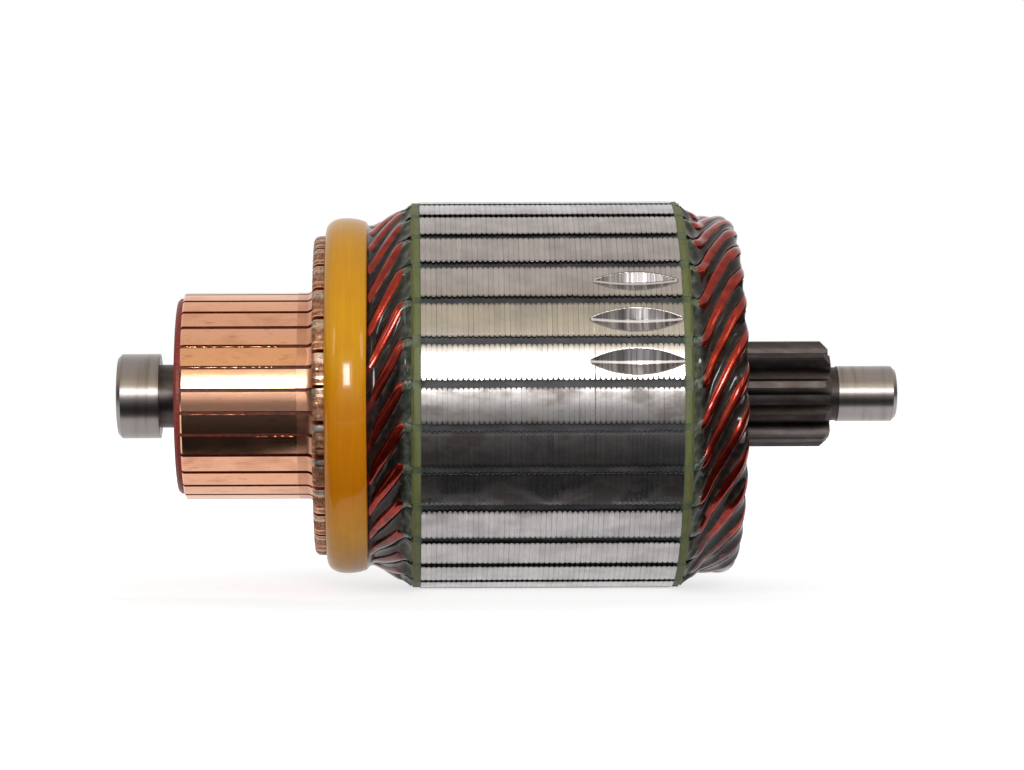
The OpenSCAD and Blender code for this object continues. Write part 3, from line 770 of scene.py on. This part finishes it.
# %% [markdown]
# ## Slivers in the gaps
# The saw that undercuts the insulation leaves a thin sliver of copper here and there in a gap. Each
# sliver is a low fence on the insulation with a round top, which catches the softbox as a short bright
# dash. It tapers at both ends, where the saw let go.

# %% Slivers
mica_r = outer_radius("mica_strips")
SLIVER_LOW, SLIVER_SINK, SLIVER_DROP = 0.1 * MM, 0.05 * MM, 0.15 * MM
SLIVER_TAPER = np.array([0.3, 0.8, 1.0, 0.9, 1.0, 0.85, 1.0, 0.8, 0.3])
SLIVERS = [
    (-2, 0.02, 0.13, 9.9, 28.3), (-1, -0.06, 0.13, 10.8, 27.5),
    (1, 0.31, 0.05, 11.0, 22.0), (2, 0.31, 0.06, 24.0, 31.5),
]


def sliver(gap, aside, thick, x0, x1):
    """A fence in a gap from x0 to x1, aside of the gap's middle, with a round top."""
    x = np.linspace(x0, x1, len(SLIVER_TAPER))
    taper = SLIVER_TAPER[:, None]
    a = np.radians(np.linspace(-90, 90, 11))
    foot = np.full_like(taper, mica_r - SLIVER_SINK)
    crest = TRACK_R - SLIVER_LOW - thick * (1 - np.cos(a)) - SLIVER_DROP * (1 - taper)
    radius = np.concatenate([foot, crest, foot], 1)
    offset = aside + thick * taper * np.concatenate([[-1.0], np.sin(a), [1.0]])
    return polar(x[:, None], radius, slot_angle(gap) + offset / TRACK_R)


sliver_rng = np.random.default_rng(77)
slivers = []
for gap, aside, thick, x, end in SLIVERS:
    while x < end:
        length = sliver_rng.uniform(0.7, 3.4)
        slivers.append(sliver(gap, aside * MM, thick * MM, x * MM, min(x + length, end) * MM))
        x += length + sliver_rng.uniform(0.2, 0.9)
piece("gap_slivers", joined(slivers), copper, 60)
print("slivers:", len(slivers), "on insulation of radius in mm:", round(mica_r / MM, 2))

# %% [markdown]
# ## Soldered risers
# Behind the brush track each bar rises to hold two wire ends, and the joint is soldered. The solder
# leaves a lumpy cap: tin on one arm of the riser, and brown, burnt copper over the wire and the other
# arm. The cap follows the riser's rounded front and dips where the wire meets the arms.

# %% Solder finish
solder = Finish("solder_and_burnt_copper", {"Metallic": 0.75, "Specular IOR Level": 0.3})
tinned = solder.attribute("tinned")
blots = solder.noise(0.9, 5.0, (0.5, 1, 1))
tin = solder.ramp(blots, [(0.3, (0.19, 0.16, 0.14)), (0.55, (0.40, 0.36, 0.32)), (0.75, (0.64, 0.61, 0.57))])
burnt = solder.ramp(blots, [
    (0.3, (0.15, 0.065, 0.038)), (0.5, (0.31, 0.15, 0.085)), (0.72, (0.50, 0.29, 0.19)),
])
ragged = solder.math("ADD", tinned, solder.fade(blots, 0.3, 0.7, -0.3, 0.3))
solder.set("Base Color", solder.mix(solder.fade(ragged, 0.35, 0.65), burnt, tin))
solder.set("Roughness", solder.fade(blots, 0.3, 0.7, 0.64, 0.5))
solder.bump(blots, 0.03)


def uneven(rows, columns, seed, coarse=5):
    """Smooth random values around 0 over a grid, for lumps."""
    knots = np.random.default_rng(seed).normal(0, 0.6, (coarse + 1, coarse + 1))
    place = np.arange(coarse + 1)
    wide = np.array([np.interp(np.linspace(0, coarse, columns), place, row) for row in knots])
    return np.array([np.interp(np.linspace(0, coarse, rows), place, column) for column in wide.T]).T


print("solder finish:", solder.material.name)

# %% Solder caps
RISER_ROUND = 1.2 * MM
RISER_SLOT = 1.45 * MM
CAP_T = 0.04 * MM
CAP_DIP = 0.16 * MM
CAP_INSET, CAP_FILLET, CAP_SINK = 0.06 * MM, 0.6 * MM, 0.05 * MM
CAP_COLUMNS = 19
CAP_FRONT_R = np.array([26.0, 27.5, 29.0, 30.3]) * MM
CAP_TOP_X, CAP_HIDDEN = 1.5 * MM, 0.35 * MM


def cap_profile():
    """Rows of the cap from the foot of the riser's front to the band: x, radius and outward direction."""
    low = [(riser_x0, r, -1.0, 0.0) for r in CAP_FRONT_R]
    bend = [(riser_x0 + RISER_ROUND * (1 - cos(a)), riser_r - RISER_ROUND * (1 - sin(a)),
             -cos(a), sin(a)) for a in np.radians([10, 30, 50, 70, 90])]
    top = [(x, riser_r, 0.0, 1.0) for x in np.linspace(riser_x0 + CAP_TOP_X, band_x0 + CAP_HIDDEN, 6)]
    return np.array(low + bend + top)


def solder_cap(k):
    """One cap over bar k: points, and 1 where it is tin."""
    x, radius, out_x, out_r = cap_profile().T[:, :, None]
    half = radius * sin(PITCH / 2) - BAR_GAP / 2 - CAP_INSET
    across = np.linspace(-1, 1, CAP_COLUMNS) * half
    aside = np.abs(across)
    round_wire = WIRE_R - np.sqrt(WIRE_R**2 - np.minimum(aside, 0.98 * WIRE_R) ** 2)
    fillet = CAP_DIP * np.clip(1 - (aside - RISER_SLOT) / CAP_FILLET, 0, 1)
    dip = np.where(aside < RISER_SLOT, np.minimum(round_wire, CAP_DIP), fillet)
    lumps = uneven(len(x), CAP_COLUMNS, 7000 + k, 4) * (0.02 + 0.04 * out_r) * MM
    rise = np.where(aside > half * 0.99, -CAP_SINK, CAP_T + lumps - dip * out_r.clip(0.25, 1))
    angle = slot_angle(k + 0.5) + across / radius
    points = polar(x + rise * out_x, radius + rise * out_r, angle)
    return points, (across < -0.7 * RISER_SLOT).astype(float)


caps, tin_values = zip(*[solder_cap(k) for k in range(SLOTS)])
made = piece("solder_caps", joined(caps), solder, 60)
paint(made, "tinned", tin_values)
print("solder caps:", SLOTS, "faces:", len(made.data.polygons))

# %% [markdown]
# ## Shaft
# The shaft is turned, its journals are ground bright, and its gear is hardened, which leaves the
# teeth brown-grey. One material does all of it: it reads the place along the shaft, and gives ground
# steel to the rear journal and the pilot and darker hardened steel from the neck to the end of the gear.

# %% Steel of the shaft
JOURNAL_X1 = 4.2 * MM
GEAR_X1 = 139.9 * MM
SHAFT_EDGE = 0.18 * MM
shaft = Finish("ground_and_hardened_steel", {"Metallic": 1.0})
along = shaft.axes()[0]
grinding = shaft.noise(0.1, 3.0, RINGS)
worn = shaft.noise(1.4, 3.0, (1, 14, 14))
heat = shaft.noise(1.3, 5.0, (3, 1, 1))
ground = shaft.ramp(grinding, [(0.3, (0.28, 0.255, 0.25)), (0.7, (0.37, 0.335, 0.33))])
ground = shaft.mix(shaft.fade(worn, 0.5, 0.7, 0.0, 0.55), ground, rgb(0.20, 0.165, 0.14))
hardened = shaft.ramp(heat, [
    (0.3, (0.075, 0.062, 0.060)), (0.55, (0.105, 0.090, 0.088)), (0.75, (0.15, 0.135, 0.137)),
])
after_neck = shaft.fade(along, JOURNAL_X1, JOURNAL_X1 + FINISH_STEP, 0.0, 0.8)
after_neck = shaft.math("ADD", after_neck, shaft.fade(along, bar_x0 + 2 * MM, riser_x0, 0.0, 0.2))
before_pilot = shaft.fade(along, GEAR_X1 + FINISH_STEP, GEAR_X1)
dark = shaft.math("MULTIPLY", after_neck, before_pilot)
shaft.set("Base Color", shaft.mix(dark, ground, hardened))
shaft.set("Roughness", shaft.fade(dark, 0, 1, 0.37, 0.56))
shaft.brush_round(0.75)
shaft.bump(grinding, 0.003, 0.4)
dress(shaft, "shaft")
break_edges("shaft", SHAFT_EDGE)
bush_steel = Finish("bush_steel", {"Metallic": 1.0, "Roughness": 0.4})
turning = bush_steel.noise(0.3, 3.0, RINGS)
bush_steel.set("Base Color", bush_steel.ramp(turning, [(0.3, (0.3, 0.3, 0.3)), (0.7, (0.45, 0.45, 0.45))]))
dress(bush_steel, "commutator_bush")
sheet = Finish("layer_sheet", {"Roughness": 0.6})
fibres = sheet.noise(0.6, 4.0, (4, 1, 1))
sheet.set("Base Color", sheet.ramp(fibres, [(0.3, (0.20, 0.17, 0.10)), (0.7, (0.32, 0.27, 0.17))]))
dress(sheet, "lead_sleeve", "nose_sleeve")
print("shaft dressed")

# %% [markdown]
# ## Winding
# Each hairpin is one round copper wire under deep red enamel. It starts in a riser, leans over to its
# slot, runs through the core, leans on to the nose at the gear end, and comes back one layer lower.
# A curve object with a bevel could draw it. Here the path is the same formula as in the solids, and
# the tube is swept along it with many more rings, so that the bends look drawn and not folded.

# %% Path of a hairpin
RISER_OUTER_R = riser_r - WIRE_R
RISER_INNER_R = RISER_OUTER_R - 2 * WIRE_R - 0.2 * MM
SLOT_OUTER_R = core_r - 1.15 * MM - 1.75 * MM
SLOT_INNER_R = SLOT_OUTER_R - 2 * WIRE_R - 0.4 * MM
STRAIGHT = 1.6 * MM
BEND = 0.7 * MM
WIRE_START = 0.9 * MM
LEAD_X0 = riser_x1 + 2.8 * MM
LEAD_X1 = plate_x0 - STRAIGHT
CLIMB_X0 = band_x1 + 1.6 * MM
LEAD_OUTER_R = RISER_OUTER_R + 2.2 * MM
LEAD_INNER_R = LEAD_OUTER_R - 2 * WIRE_R - 0.45 * MM
LEAD_TURN = 2.5 * PITCH
INNER_LATE = WIRE_R - BEND / 2
NOSE_R = WIRE_R + 0.25 * MM
OVER_OUTER_R = SLOT_OUTER_R - 1.35 * MM
OVER_INNER_R = OVER_OUTER_R - 2 * NOSE_R
OVER_MID_R = OVER_OUTER_R - NOSE_R
BEND_X = plate_x1 + STRAIGHT
SPAN_TURN = 5 * PITCH
LEAN = acos((2 * WIRE_R + 0.25 * MM) / (PITCH * OVER_INNER_R))
leaning = SPAN_TURN / tan(LEAN) - pi * NOSE_R / OVER_MID_R
NOSE_X = BEND_X + leaning / (1 / OVER_OUTER_R + 1 / OVER_INNER_R)


def soft(t, s):
    """0 before the corner, t after it, rounded over s on both sides."""
    return np.where(t <= -s, 0, np.where(t >= s, t, (t + s) ** 2 / (4 * s)))


def ramp(x, x0, x1, s):
    """0 before x0 and 1 after x1, with both corners rounded over s."""
    return (soft(x - x0, s) - soft(x - x1, s)) / (x1 - x0)


def lead_radius(x, late, riser, lead, slot):
    first = (lead - riser) * ramp(x, riser_x1 + late + BEND, LEAD_X0 + late, BEND)
    return riser + first + (slot - lead) * ramp(x, CLIMB_X0, LEAD_X1, BEND)


def lead_turn(x, late):
    return LEAD_TURN * (1 - ramp(x, LEAD_X0 + late, LEAD_X1, BEND))


def over_radius(x, slot, over):
    return slot + (over - slot) * ramp(x, BEND_X, BEND_X + 2 * BEND, BEND)


def over_turn(x, over):
    return soft(x - BEND_X, BEND) * tan(LEAN) / over


def nose(bend):
    """Place, radius and turn on the nose, for bends from 0 on the outer layer to half a turn."""
    turn = over_turn(NOSE_X, OVER_OUTER_R) + bend * NOSE_R / OVER_MID_R * tan(LEAN)
    return NOSE_X + NOSE_R * np.sin(bend), OVER_MID_R + NOSE_R * np.cos(bend), turn


def lead_outer(x):
    """Radius and turn of the outer wire between riser and core."""
    return lead_radius(x, 0, RISER_OUTER_R, LEAD_OUTER_R, SLOT_OUTER_R), -lead_turn(x, 0)


def over_outer(x):
    """Radius and turn of the outer wire at the gear end."""
    return over_radius(x, SLOT_OUTER_R, OVER_OUTER_R), over_turn(x, OVER_OUTER_R)


def hairpin_path():
    """The whole wire as places along the shaft, radii and turns from its slot."""
    start = [riser_x0 + WIRE_START]
    lead = np.append(start, np.linspace(riser_x1 - BEND, LEAD_X1 + BEND, 44))
    over = np.linspace(BEND_X - BEND, NOSE_X, 18)[:-1]
    back = over[::-1]
    late = np.append(start, np.linspace(riser_x1, LEAD_X1 + BEND, 30))[::-1]
    home_r = over_radius(back, SLOT_INNER_R, OVER_INNER_R)
    inner_r = lead_radius(late, INNER_LATE, RISER_INNER_R, LEAD_INNER_R, SLOT_INNER_R)
    legs = [
        (lead, *lead_outer(lead)), (over, *over_outer(over)), nose(np.linspace(0, pi, 18)),
        (back, home_r, SPAN_TURN - over_turn(back, OVER_INNER_R)),
        (late, inner_r, SPAN_TURN + lead_turn(late, INNER_LATE)),
    ]
    return [np.concatenate([leg[i] for leg in legs]) for i in range(3)]


path_x, path_r, path_turn = hairpin_path()
print("rings of a hairpin:", len(path_x), "nose at x in mm:", round(NOSE_X / MM, 2))

# %% [markdown]
# ## Enamel
# The enamel is clear and red, so the copper under it shines through: a metal with a deep red colour,
# and a clear coat of varnish on top that gives the white glints. Low down, a painted shade dims the
# wires towards a dark grey-brown.

# %% Wire finish
# Heights between which the wires are dimmed by painted shade.
SHADE_FROM_Z, SHADE_TO_Z, SHADE_EDGE_SPREAD = -23 * MM, -31 * MM, 4 * MM
BARE_L = 1.5 * MM
enamel = Finish("red_enamel", {
    "Metallic": 0.9, "Coat Weight": 0.5, "Coat Roughness": 0.05, "Coat IOR": 1.5,
})
along, height = enamel.axes()[0], enamel.axes()[2]
flow = enamel.noise(2.5, 4.0)
speck = enamel.noise(0.5, 3.0)
red = enamel.ramp(flow, [
    (0.3, (0.16, 0.008, 0.004)), (0.55, (0.30, 0.019, 0.008)), (0.75, (0.42, 0.040, 0.014)),
])
enamelled = enamel.mix(enamel.fade(speck, 0.55, 0.8, 0.0, 0.5), red, rgb(0.06, 0.006, 0.006))
# Painted shade: below a wavy height the wires are dimmed towards a dark grey-brown.
shade_by_height = enamel.math("ADD", height, enamel.fade(flow, 0.3, 0.7, -SHADE_EDGE_SPREAD, SHADE_EDGE_SPREAD))
painted_dimming = enamel.fade(shade_by_height, SHADE_FROM_Z, SHADE_TO_Z, 0.0, 0.75)
enamelled = enamel.mix(painted_dimming, enamelled, rgb(0.045, 0.022, 0.022))
bare_end = enamel.fade(along, riser_x1 + BARE_L, riser_x1)
stripped = enamel.ramp(speck, [(0.35, (0.22, 0.08, 0.04)), (0.65, (0.55, 0.26, 0.15))])
enamel.set("Base Color", enamel.mix(bare_end, enamelled, stripped))
enamel.set("Roughness", enamel.fade(speck, 0.3, 0.8, 0.16, 0.3))
enamel.bump(speck, 0.02, 0.5)
print("wire finish:", enamel.material.name)


# %% Wires
WIRE_SIDES = 14
WIRE_RISE, WIRE_SWAY = 0.05 * MM, 0.06 * MM


def swept_wire(centre):
    """A round tube along centre points, with its ends closed."""
    heading = np.gradient(centre, axis=0)
    heading /= np.linalg.norm(heading, axis=1, keepdims=True)
    out = centre * [0, 1, 1]
    out = out - (out * heading).sum(1, keepdims=True) * heading
    out /= np.linalg.norm(out, axis=1, keepdims=True)
    side = np.cross(heading, out)
    corners = np.arange(WIRE_SIDES)
    turn = corners[:, None] * 2 * pi / WIRE_SIDES
    ring = np.cos(turn) * out[:, None] + np.sin(turn) * side[:, None]
    points = (centre[:, None] + WIRE_R * ring).reshape(-1, 3)
    faces = [*grid_faces(len(centre), WIRE_SIDES, wrap=True)]
    faces += [corners[::-1], len(points) - WIRE_SIDES + corners]
    return points, faces


for k in range(SLOTS):
    rise = wander(len(path_x), 900 + k, WIRE_RISE)
    sway = wander(len(path_x), 1900 + k, WIRE_SWAY) / path_r
    wire = swept_wire(polar(path_x, path_r + rise, slot_angle(k) - path_turn + sway))
    made = piece(f"wire_{k + 1:02d}", wire, enamel, 60, [f"hairpin_{k + 1:02d}"])
print("wires:", SLOTS, "faces each:", len(made.data.polygons))

# %% [markdown]
# ## Band over the leads
# Behind the risers the leads are tied down with a band of tape, soaked in ochre varnish. The
# solid's outline is kept, with a finer and slightly uneven crown, because hand-wound tape is never
# quite round. The winding shows as faint lines round the band. Its colour changes with height as
# painted light and shade: deeper low down, lighter at the top and at the very bottom.

# %% Band
BAND_SEAT_R = LEAD_OUTER_R + WIRE_R + 0.1 * MM
BAND_EDGE_R = riser_r + 0.8 * MM
BAND_LIP_R = BAND_SEAT_R + 0.2 * MM
BAND_UNDER_R = riser_r + 0.1 * MM
BAND_ROUND, BAND_ACROSS = 240, 48
BAND_BOW = 2.15
TAPE_STEP = 0.62 * MM
TAPE_RELIEF, TAPE_LUMPS, TAPE_SUNK = 0.0036 * MM, 0.04 * MM, 0.06 * MM
# Height over which the band's painted light and shade change.
SHADE_HALF_HEIGHT = 32 * MM


def band_mesh():
    """Points of a turned crown with a small wander, closed by its underside."""
    s = np.linspace(0, 1, BAND_ACROSS)
    bow = np.sqrt(np.maximum(1 - np.abs(2 * s - 1) ** BAND_BOW, 0))
    edge = BAND_EDGE_R + (BAND_LIP_R - BAND_EDGE_R) * s
    crown_x, crown_r = band_x0 + (band_x1 - band_x0) * s, edge + (band_r - edge) * bow
    under_x = np.array([band_x1, LEAD_X0 - 2 * BEND, riser_x1 - BEND, band_x0])
    under_r = np.array([BAND_SEAT_R, BAND_SEAT_R, BAND_UNDER_R, BAND_UNDER_R])
    x, r = np.append(crown_x, under_x), np.append(crown_r, under_r)
    angle = np.arange(BAND_ROUND)[:, None] * 2 * pi / BAND_ROUND
    weight = np.append(bow, np.zeros(4))
    turns = TAPE_RELIEF * np.sin(x / TAPE_STEP * 2 * pi + 3 * angle)
    lumps = TAPE_LUMPS * (np.sin(3 * angle + 0.6) + 0.6 * np.sin(7 * angle + 2) + 0.4 * np.sin(13 * angle))
    return polar(x, r + weight * (turns + lumps - TAPE_SUNK), angle)


tape = Finish("ochre_varnished_tape", {
    "Roughness": 0.5, "Specular IOR Level": 0.05, "Coat Weight": 0.6, "Coat Roughness": 0.1,
})
tape_lines = tape.noise(0.35, 4.0, (1, 40, 40))
soak = tape.noise(6, 4.0, (0.6, 1, 1))
# Painted light and shade: the ochre changes with height, deeper low down, lighter at the top and at the very
# bottom.
shade_by_height = tape.fade(tape.axes()[2], -SHADE_HALF_HEIGHT, SHADE_HALF_HEIGHT)
ochre_lit_and_shaded = tape.ramp(shade_by_height, [
    (0.08, (0.68, 0.30, 0.008)), (0.22, (0.51, 0.160, 0.001)), (0.45, (0.52, 0.182, 0.001)),
    (0.62, (0.61, 0.275, 0.002)),
])
streaks = tape.ramp(tape_lines, [(0.25, (0.93, 0.88, 0.6)), (0.5, (1.0, 1.0, 1.0)), (0.8, (1.04, 1.1, 1.4))])
streaked = tape.mix(1.0, ochre_lit_and_shaded, streaks, "MULTIPLY")
soaked = tape.mix(tape.fade(soak, 0.45, 0.75, 0.0, 0.3), streaked, rgb(0.50, 0.175, 0.002))
tape.set("Base Color", soaked)
tape.bump(tape_lines, 0.01, 0.5)


def lathed(points, closed):
    """Points and faces of a profile turned round the shaft. A closed profile ends where it starts."""
    rows, columns = points.shape[:2]
    faces = grid_faces(rows + 1, columns, wrap=closed)[:, ::-1] % (rows * columns)
    return points.reshape(-1, 3), faces


made = piece("tape_band", lathed(band_mesh(), True), tape, 50, ["lead_band"])
print("band faces:", len(made.data.polygons))

# %% [markdown]
# ## Varnish between the wires
# The wound rotor is dipped in varnish, which runs into the valleys between the wires and dries to a
# dark, glossy skin. A skin is a strip from one wire to the next: it clings to both and sags between
# them. On the lower side, where the varnish ran while it dried, it covers more of the wires. Near
# the end plates it climbs up and closes the corner.

# %% Varnish finish
varnish = Finish("dark_varnish", {
    "Roughness": 0.16, "Specular IOR Level": 0.16, "Coat Weight": 0.15, "Coat Roughness": 0.05,
})
depth = varnish.noise(1.6, 4.0)
near_plate = varnish.attribute("near_plate")
skin_edge_sheen = varnish.attribute("skin_edge_sheen")
wire_under = varnish.attribute("wire_under")
pool = varnish.ramp(depth, [
    (0.3, (0.006, 0.005, 0.004)), (0.5, (0.012, 0.009, 0.008)), (0.7, (0.038, 0.010, 0.008)),
])
# Painted sheen: the skins are lighter grey-teal along their edges at the wires.
edge = varnish.ramp(depth, [(0.35, (0.013, 0.013, 0.012)), (0.65, (0.06, 0.066, 0.06))])
haze = varnish.ramp(depth, [
    (0.3, (0.03, 0.035, 0.02)), (0.5, (0.06, 0.075, 0.055)), (0.75, (0.17, 0.18, 0.15)),
])
between = varnish.mix(skin_edge_sheen, pool, edge)
over_wire = varnish.mix(wire_under, between, rgb(0.11, 0.008, 0.006))
varnish.set("Base Color", varnish.mix(near_plate, over_wire, haze))
varnish.bump(depth, 0.02, 0.6)
SKIN_ACROSS = 11
SAG_LEAST, SAG_MOST = 0.06 * MM, 1.2 * MM
SAG_SHARE, SAG_SPREAD = 0.16, 0.3
GAP_LEAST = 0.05 * MM
SKIN_HIDDEN = 0.8 * MM
CLIMB, CLIMB_H = 2.3 * MM, 1.3 * MM
CLING_HIGH, CLING_LOW = radians(38), radians(17)


def skin_strip(k, path, lift):
    """Varnish from wire k to wire k + 1. The path is x, radius, turn and the outward direction."""
    x, radius, turn, out_x, out_r = path
    below = max(0.0, -sin(slot_angle(k + 0.5) - turn.mean()))
    hold = CLING_HIGH + (CLING_LOW - CLING_HIGH) * below**2
    step = np.hypot(np.gradient(x), np.gradient(radius))
    slope = np.gradient(turn) * radius / step
    apart = PITCH * radius / np.sqrt(1 + slope**2)
    cling = WIRE_R * sin(hold) / apart * PITCH
    gap = np.maximum(apart - 2 * WIRE_R * sin(hold), GAP_LEAST)
    sag = np.minimum(SAG_LEAST + SAG_SHARE * gap, SAG_MOST) * (1 + wander(len(x), 3000 + k, SAG_SPREAD, 8))
    t = np.linspace(0, 1, SKIN_ACROSS)
    rise = WIRE_R * cos(hold) + lift[:, None] - sag[:, None] * 4 * t * (1 - t)
    start = slot_angle(k) - turn + cling
    angle = start[:, None] + t * (PITCH - 2 * cling)[:, None]
    return polar(x[:, None] + rise * out_x[:, None], radius[:, None] + rise * out_r[:, None], angle)


def skins(name, path, climb):
    """All 29 skins of one end of the winding as one piece. They climb towards the plate."""
    strips = [skin_strip(k, path, CLIMB_H * climb**2) for k in range(SLOTS)]
    made = piece(name, joined(strips), varnish, 80)
    # Painted sheen along the edges of each skin.
    edge = np.abs(np.linspace(-1, 1, SKIN_ACROSS)) ** 4
    paint(made, "near_plate", np.tile(np.repeat(climb, SKIN_ACROSS), SLOTS))
    paint(made, "skin_edge_sheen", np.tile(edge, SLOTS * len(climb)))
    return len(made.data.polygons)


print("varnish finish:", varnish.material.name)

# %% Varnish skins
lead_x = np.linspace(band_x1 - SKIN_HIDDEN, plate_x0, 52)
climb = np.clip((lead_x - (plate_x0 - CLIMB)) / CLIMB, 0, 1)
lead_path = [lead_x, *lead_outer(lead_x), np.zeros_like(lead_x), np.ones_like(lead_x)]
print("skins on the leads:", skins("lead_varnish", lead_path, climb))
over_x = np.linspace(plate_x1, NOSE_X, 30)
bends = np.radians(np.linspace(8, 120, 14))
along_legs = [over_x, *over_outer(over_x), np.zeros_like(over_x), np.ones_like(over_x)]
along_nose = [*nose(bends), np.sin(bends), np.cos(bends)]
over_path = [np.append(a, b) for a, b in zip(along_legs, along_nose)]
climb = np.clip((plate_x1 + CLIMB - over_path[0]) / CLIMB, 0, 1)
print("skins at the gear end:", skins("nose_varnish", over_path, climb))

# %% [markdown]
# ## Varnish beside the band
# Along the band the varnish fills the corner between tape and wires. It is turned like the band, a
# hollow fillet that runs out over the wires, and its hollow catches the softbox as a long white glint.

# %% Fillet beside the band
POOL_L, POOL_H, POOL_HIDDEN = 2.4 * MM, 1.2 * MM, 0.25 * MM
POOL_TURN = 0.75
POOL_WAVE = 0.03 * MM
WIRE_SHOWS = 0.9 * MM
POOL_LOW_R = LEAD_OUTER_R + 0.55 * WIRE_R
POOLS = [(184, 0.46), (285, 0.4), (40, 0.35)]
POOL_ROUND, POOL_ACROSS = 20 * SLOTS, 16
t = np.linspace(0, 1, POOL_ACROSS)
pool_x = band_x1 - POOL_HIDDEN + POOL_L * t
hollow, runout = POOL_H * (1 - t / POOL_TURN) ** 2, -POOL_H * (t - POOL_TURN)
pool_r = POOL_LOW_R + np.where(t < POOL_TURN, hollow, runout)
angle = np.arange(POOL_ROUND)[:, None] * 2 * pi / POOL_ROUND
waves = POOL_WAVE * (np.sin(5 * angle + 1) + np.sin(11 * angle))
for middle, thick in POOLS:
    waves += WIRE_R * thick * np.maximum(np.cos(angle - radians(middle)), 0) ** 12
points = polar(pool_x, pool_r + waves * np.sqrt(t), angle)
made = piece("band_fillet", lathed(points, False), varnish, 80)
from_wire = (angle - FIRST_SLOT - lead_turn(pool_x, 0) + PITCH / 2) % PITCH - PITCH / 2
paint(made, "wire_under", np.clip(1.4 - np.abs(from_wire) * LEAD_OUTER_R / WIRE_SHOWS, 0, 1))
print("fillet faces:", len(made.data.polygons))

# %% [markdown]
# ## Varnish collars at the slots
# Where a wire leaves its slot the varnish has run together into a collar around it, grey-green and
# half clear. Each collar is a flared sleeve along the wire's path: wide at the plate, and thin where
# it ends on the wire.

# %% Collars
collar = Finish("cloudy_varnish", {
    "Roughness": 0.16, "Coat Weight": 0.6, "Coat Roughness": 0.05, "IOR": 1.45,
})
cloud = collar.noise(0.9, 4.0)
end = collar.attribute("collar_end")
cloudy = collar.ramp(cloud, [
    (0.3, (0.03, 0.043, 0.035)), (0.5, (0.078, 0.105, 0.085)), (0.72, (0.26, 0.28, 0.22)),
])
collar.set("Base Color", collar.mix(collar.fade(end, 0.45, 1.0), cloudy, rgb(0.10, 0.008, 0.006)))
collar.bump(cloud, 0.06)
COLLAR_ROWS, COLLAR_COLUMNS = 12, 15
COLLAR_R = WIRE_R + 0.03 * MM
COLLAR_LONG, COLLAR_WIDE, COLLAR_TALL = (1.7, 2.5), (0.5, 1.1), (0.25, 0.75)
COLLAR_OPEN = 1.9
COLLAR_LUMPS = 0.09


def collar_mesh(k, face_x, side, outer):
    """A flared sleeve around wire k from the plate's face outwards."""
    rng = np.random.default_rng(5000 + k + 100 * side)
    length = rng.uniform(*COLLAR_LONG) * MM
    t = np.linspace(0, 1, COLLAR_ROWS)
    x = face_x + side * length * t
    flare = (1 - t) ** 2
    half = COLLAR_R + rng.uniform(*COLLAR_WIDE) * MM * flare
    tall = COLLAR_R + rng.uniform(*COLLAR_TALL) * MM * flare
    a = np.linspace(-COLLAR_OPEN, COLLAR_OPEN, COLLAR_COLUMNS)
    lumps = uneven(COLLAR_ROWS, COLLAR_COLUMNS, 6000 + k + 100 * side) * (1 - t)[:, None]
    lumps = 1 + COLLAR_LUMPS * lumps
    radius, turn = outer(x)
    r = radius[:, None] + tall[:, None] * np.cos(a) * lumps
    phi = slot_angle(k) - turn[:, None] + half[:, None] * np.sin(a) * lumps / r
    return polar(x[:, None], r, phi)


ENDS = [(plate_x0, -1, lead_outer), (plate_x1, 1, over_outer)]
points, faces = joined([collar_mesh(k, *end) for end in ENDS for k in range(SLOTS)])
on_leads = len(faces) // 2
faces[:on_leads] = faces[:on_leads, ::-1]
made = piece("slot_collars", (points, faces), collar, 80)
paint(made, "collar_end", np.tile(np.repeat(np.linspace(0, 1, COLLAR_ROWS), COLLAR_COLUMNS), 2 * SLOTS))
print("collars:", 2 * SLOTS, "faces:", len(faces))
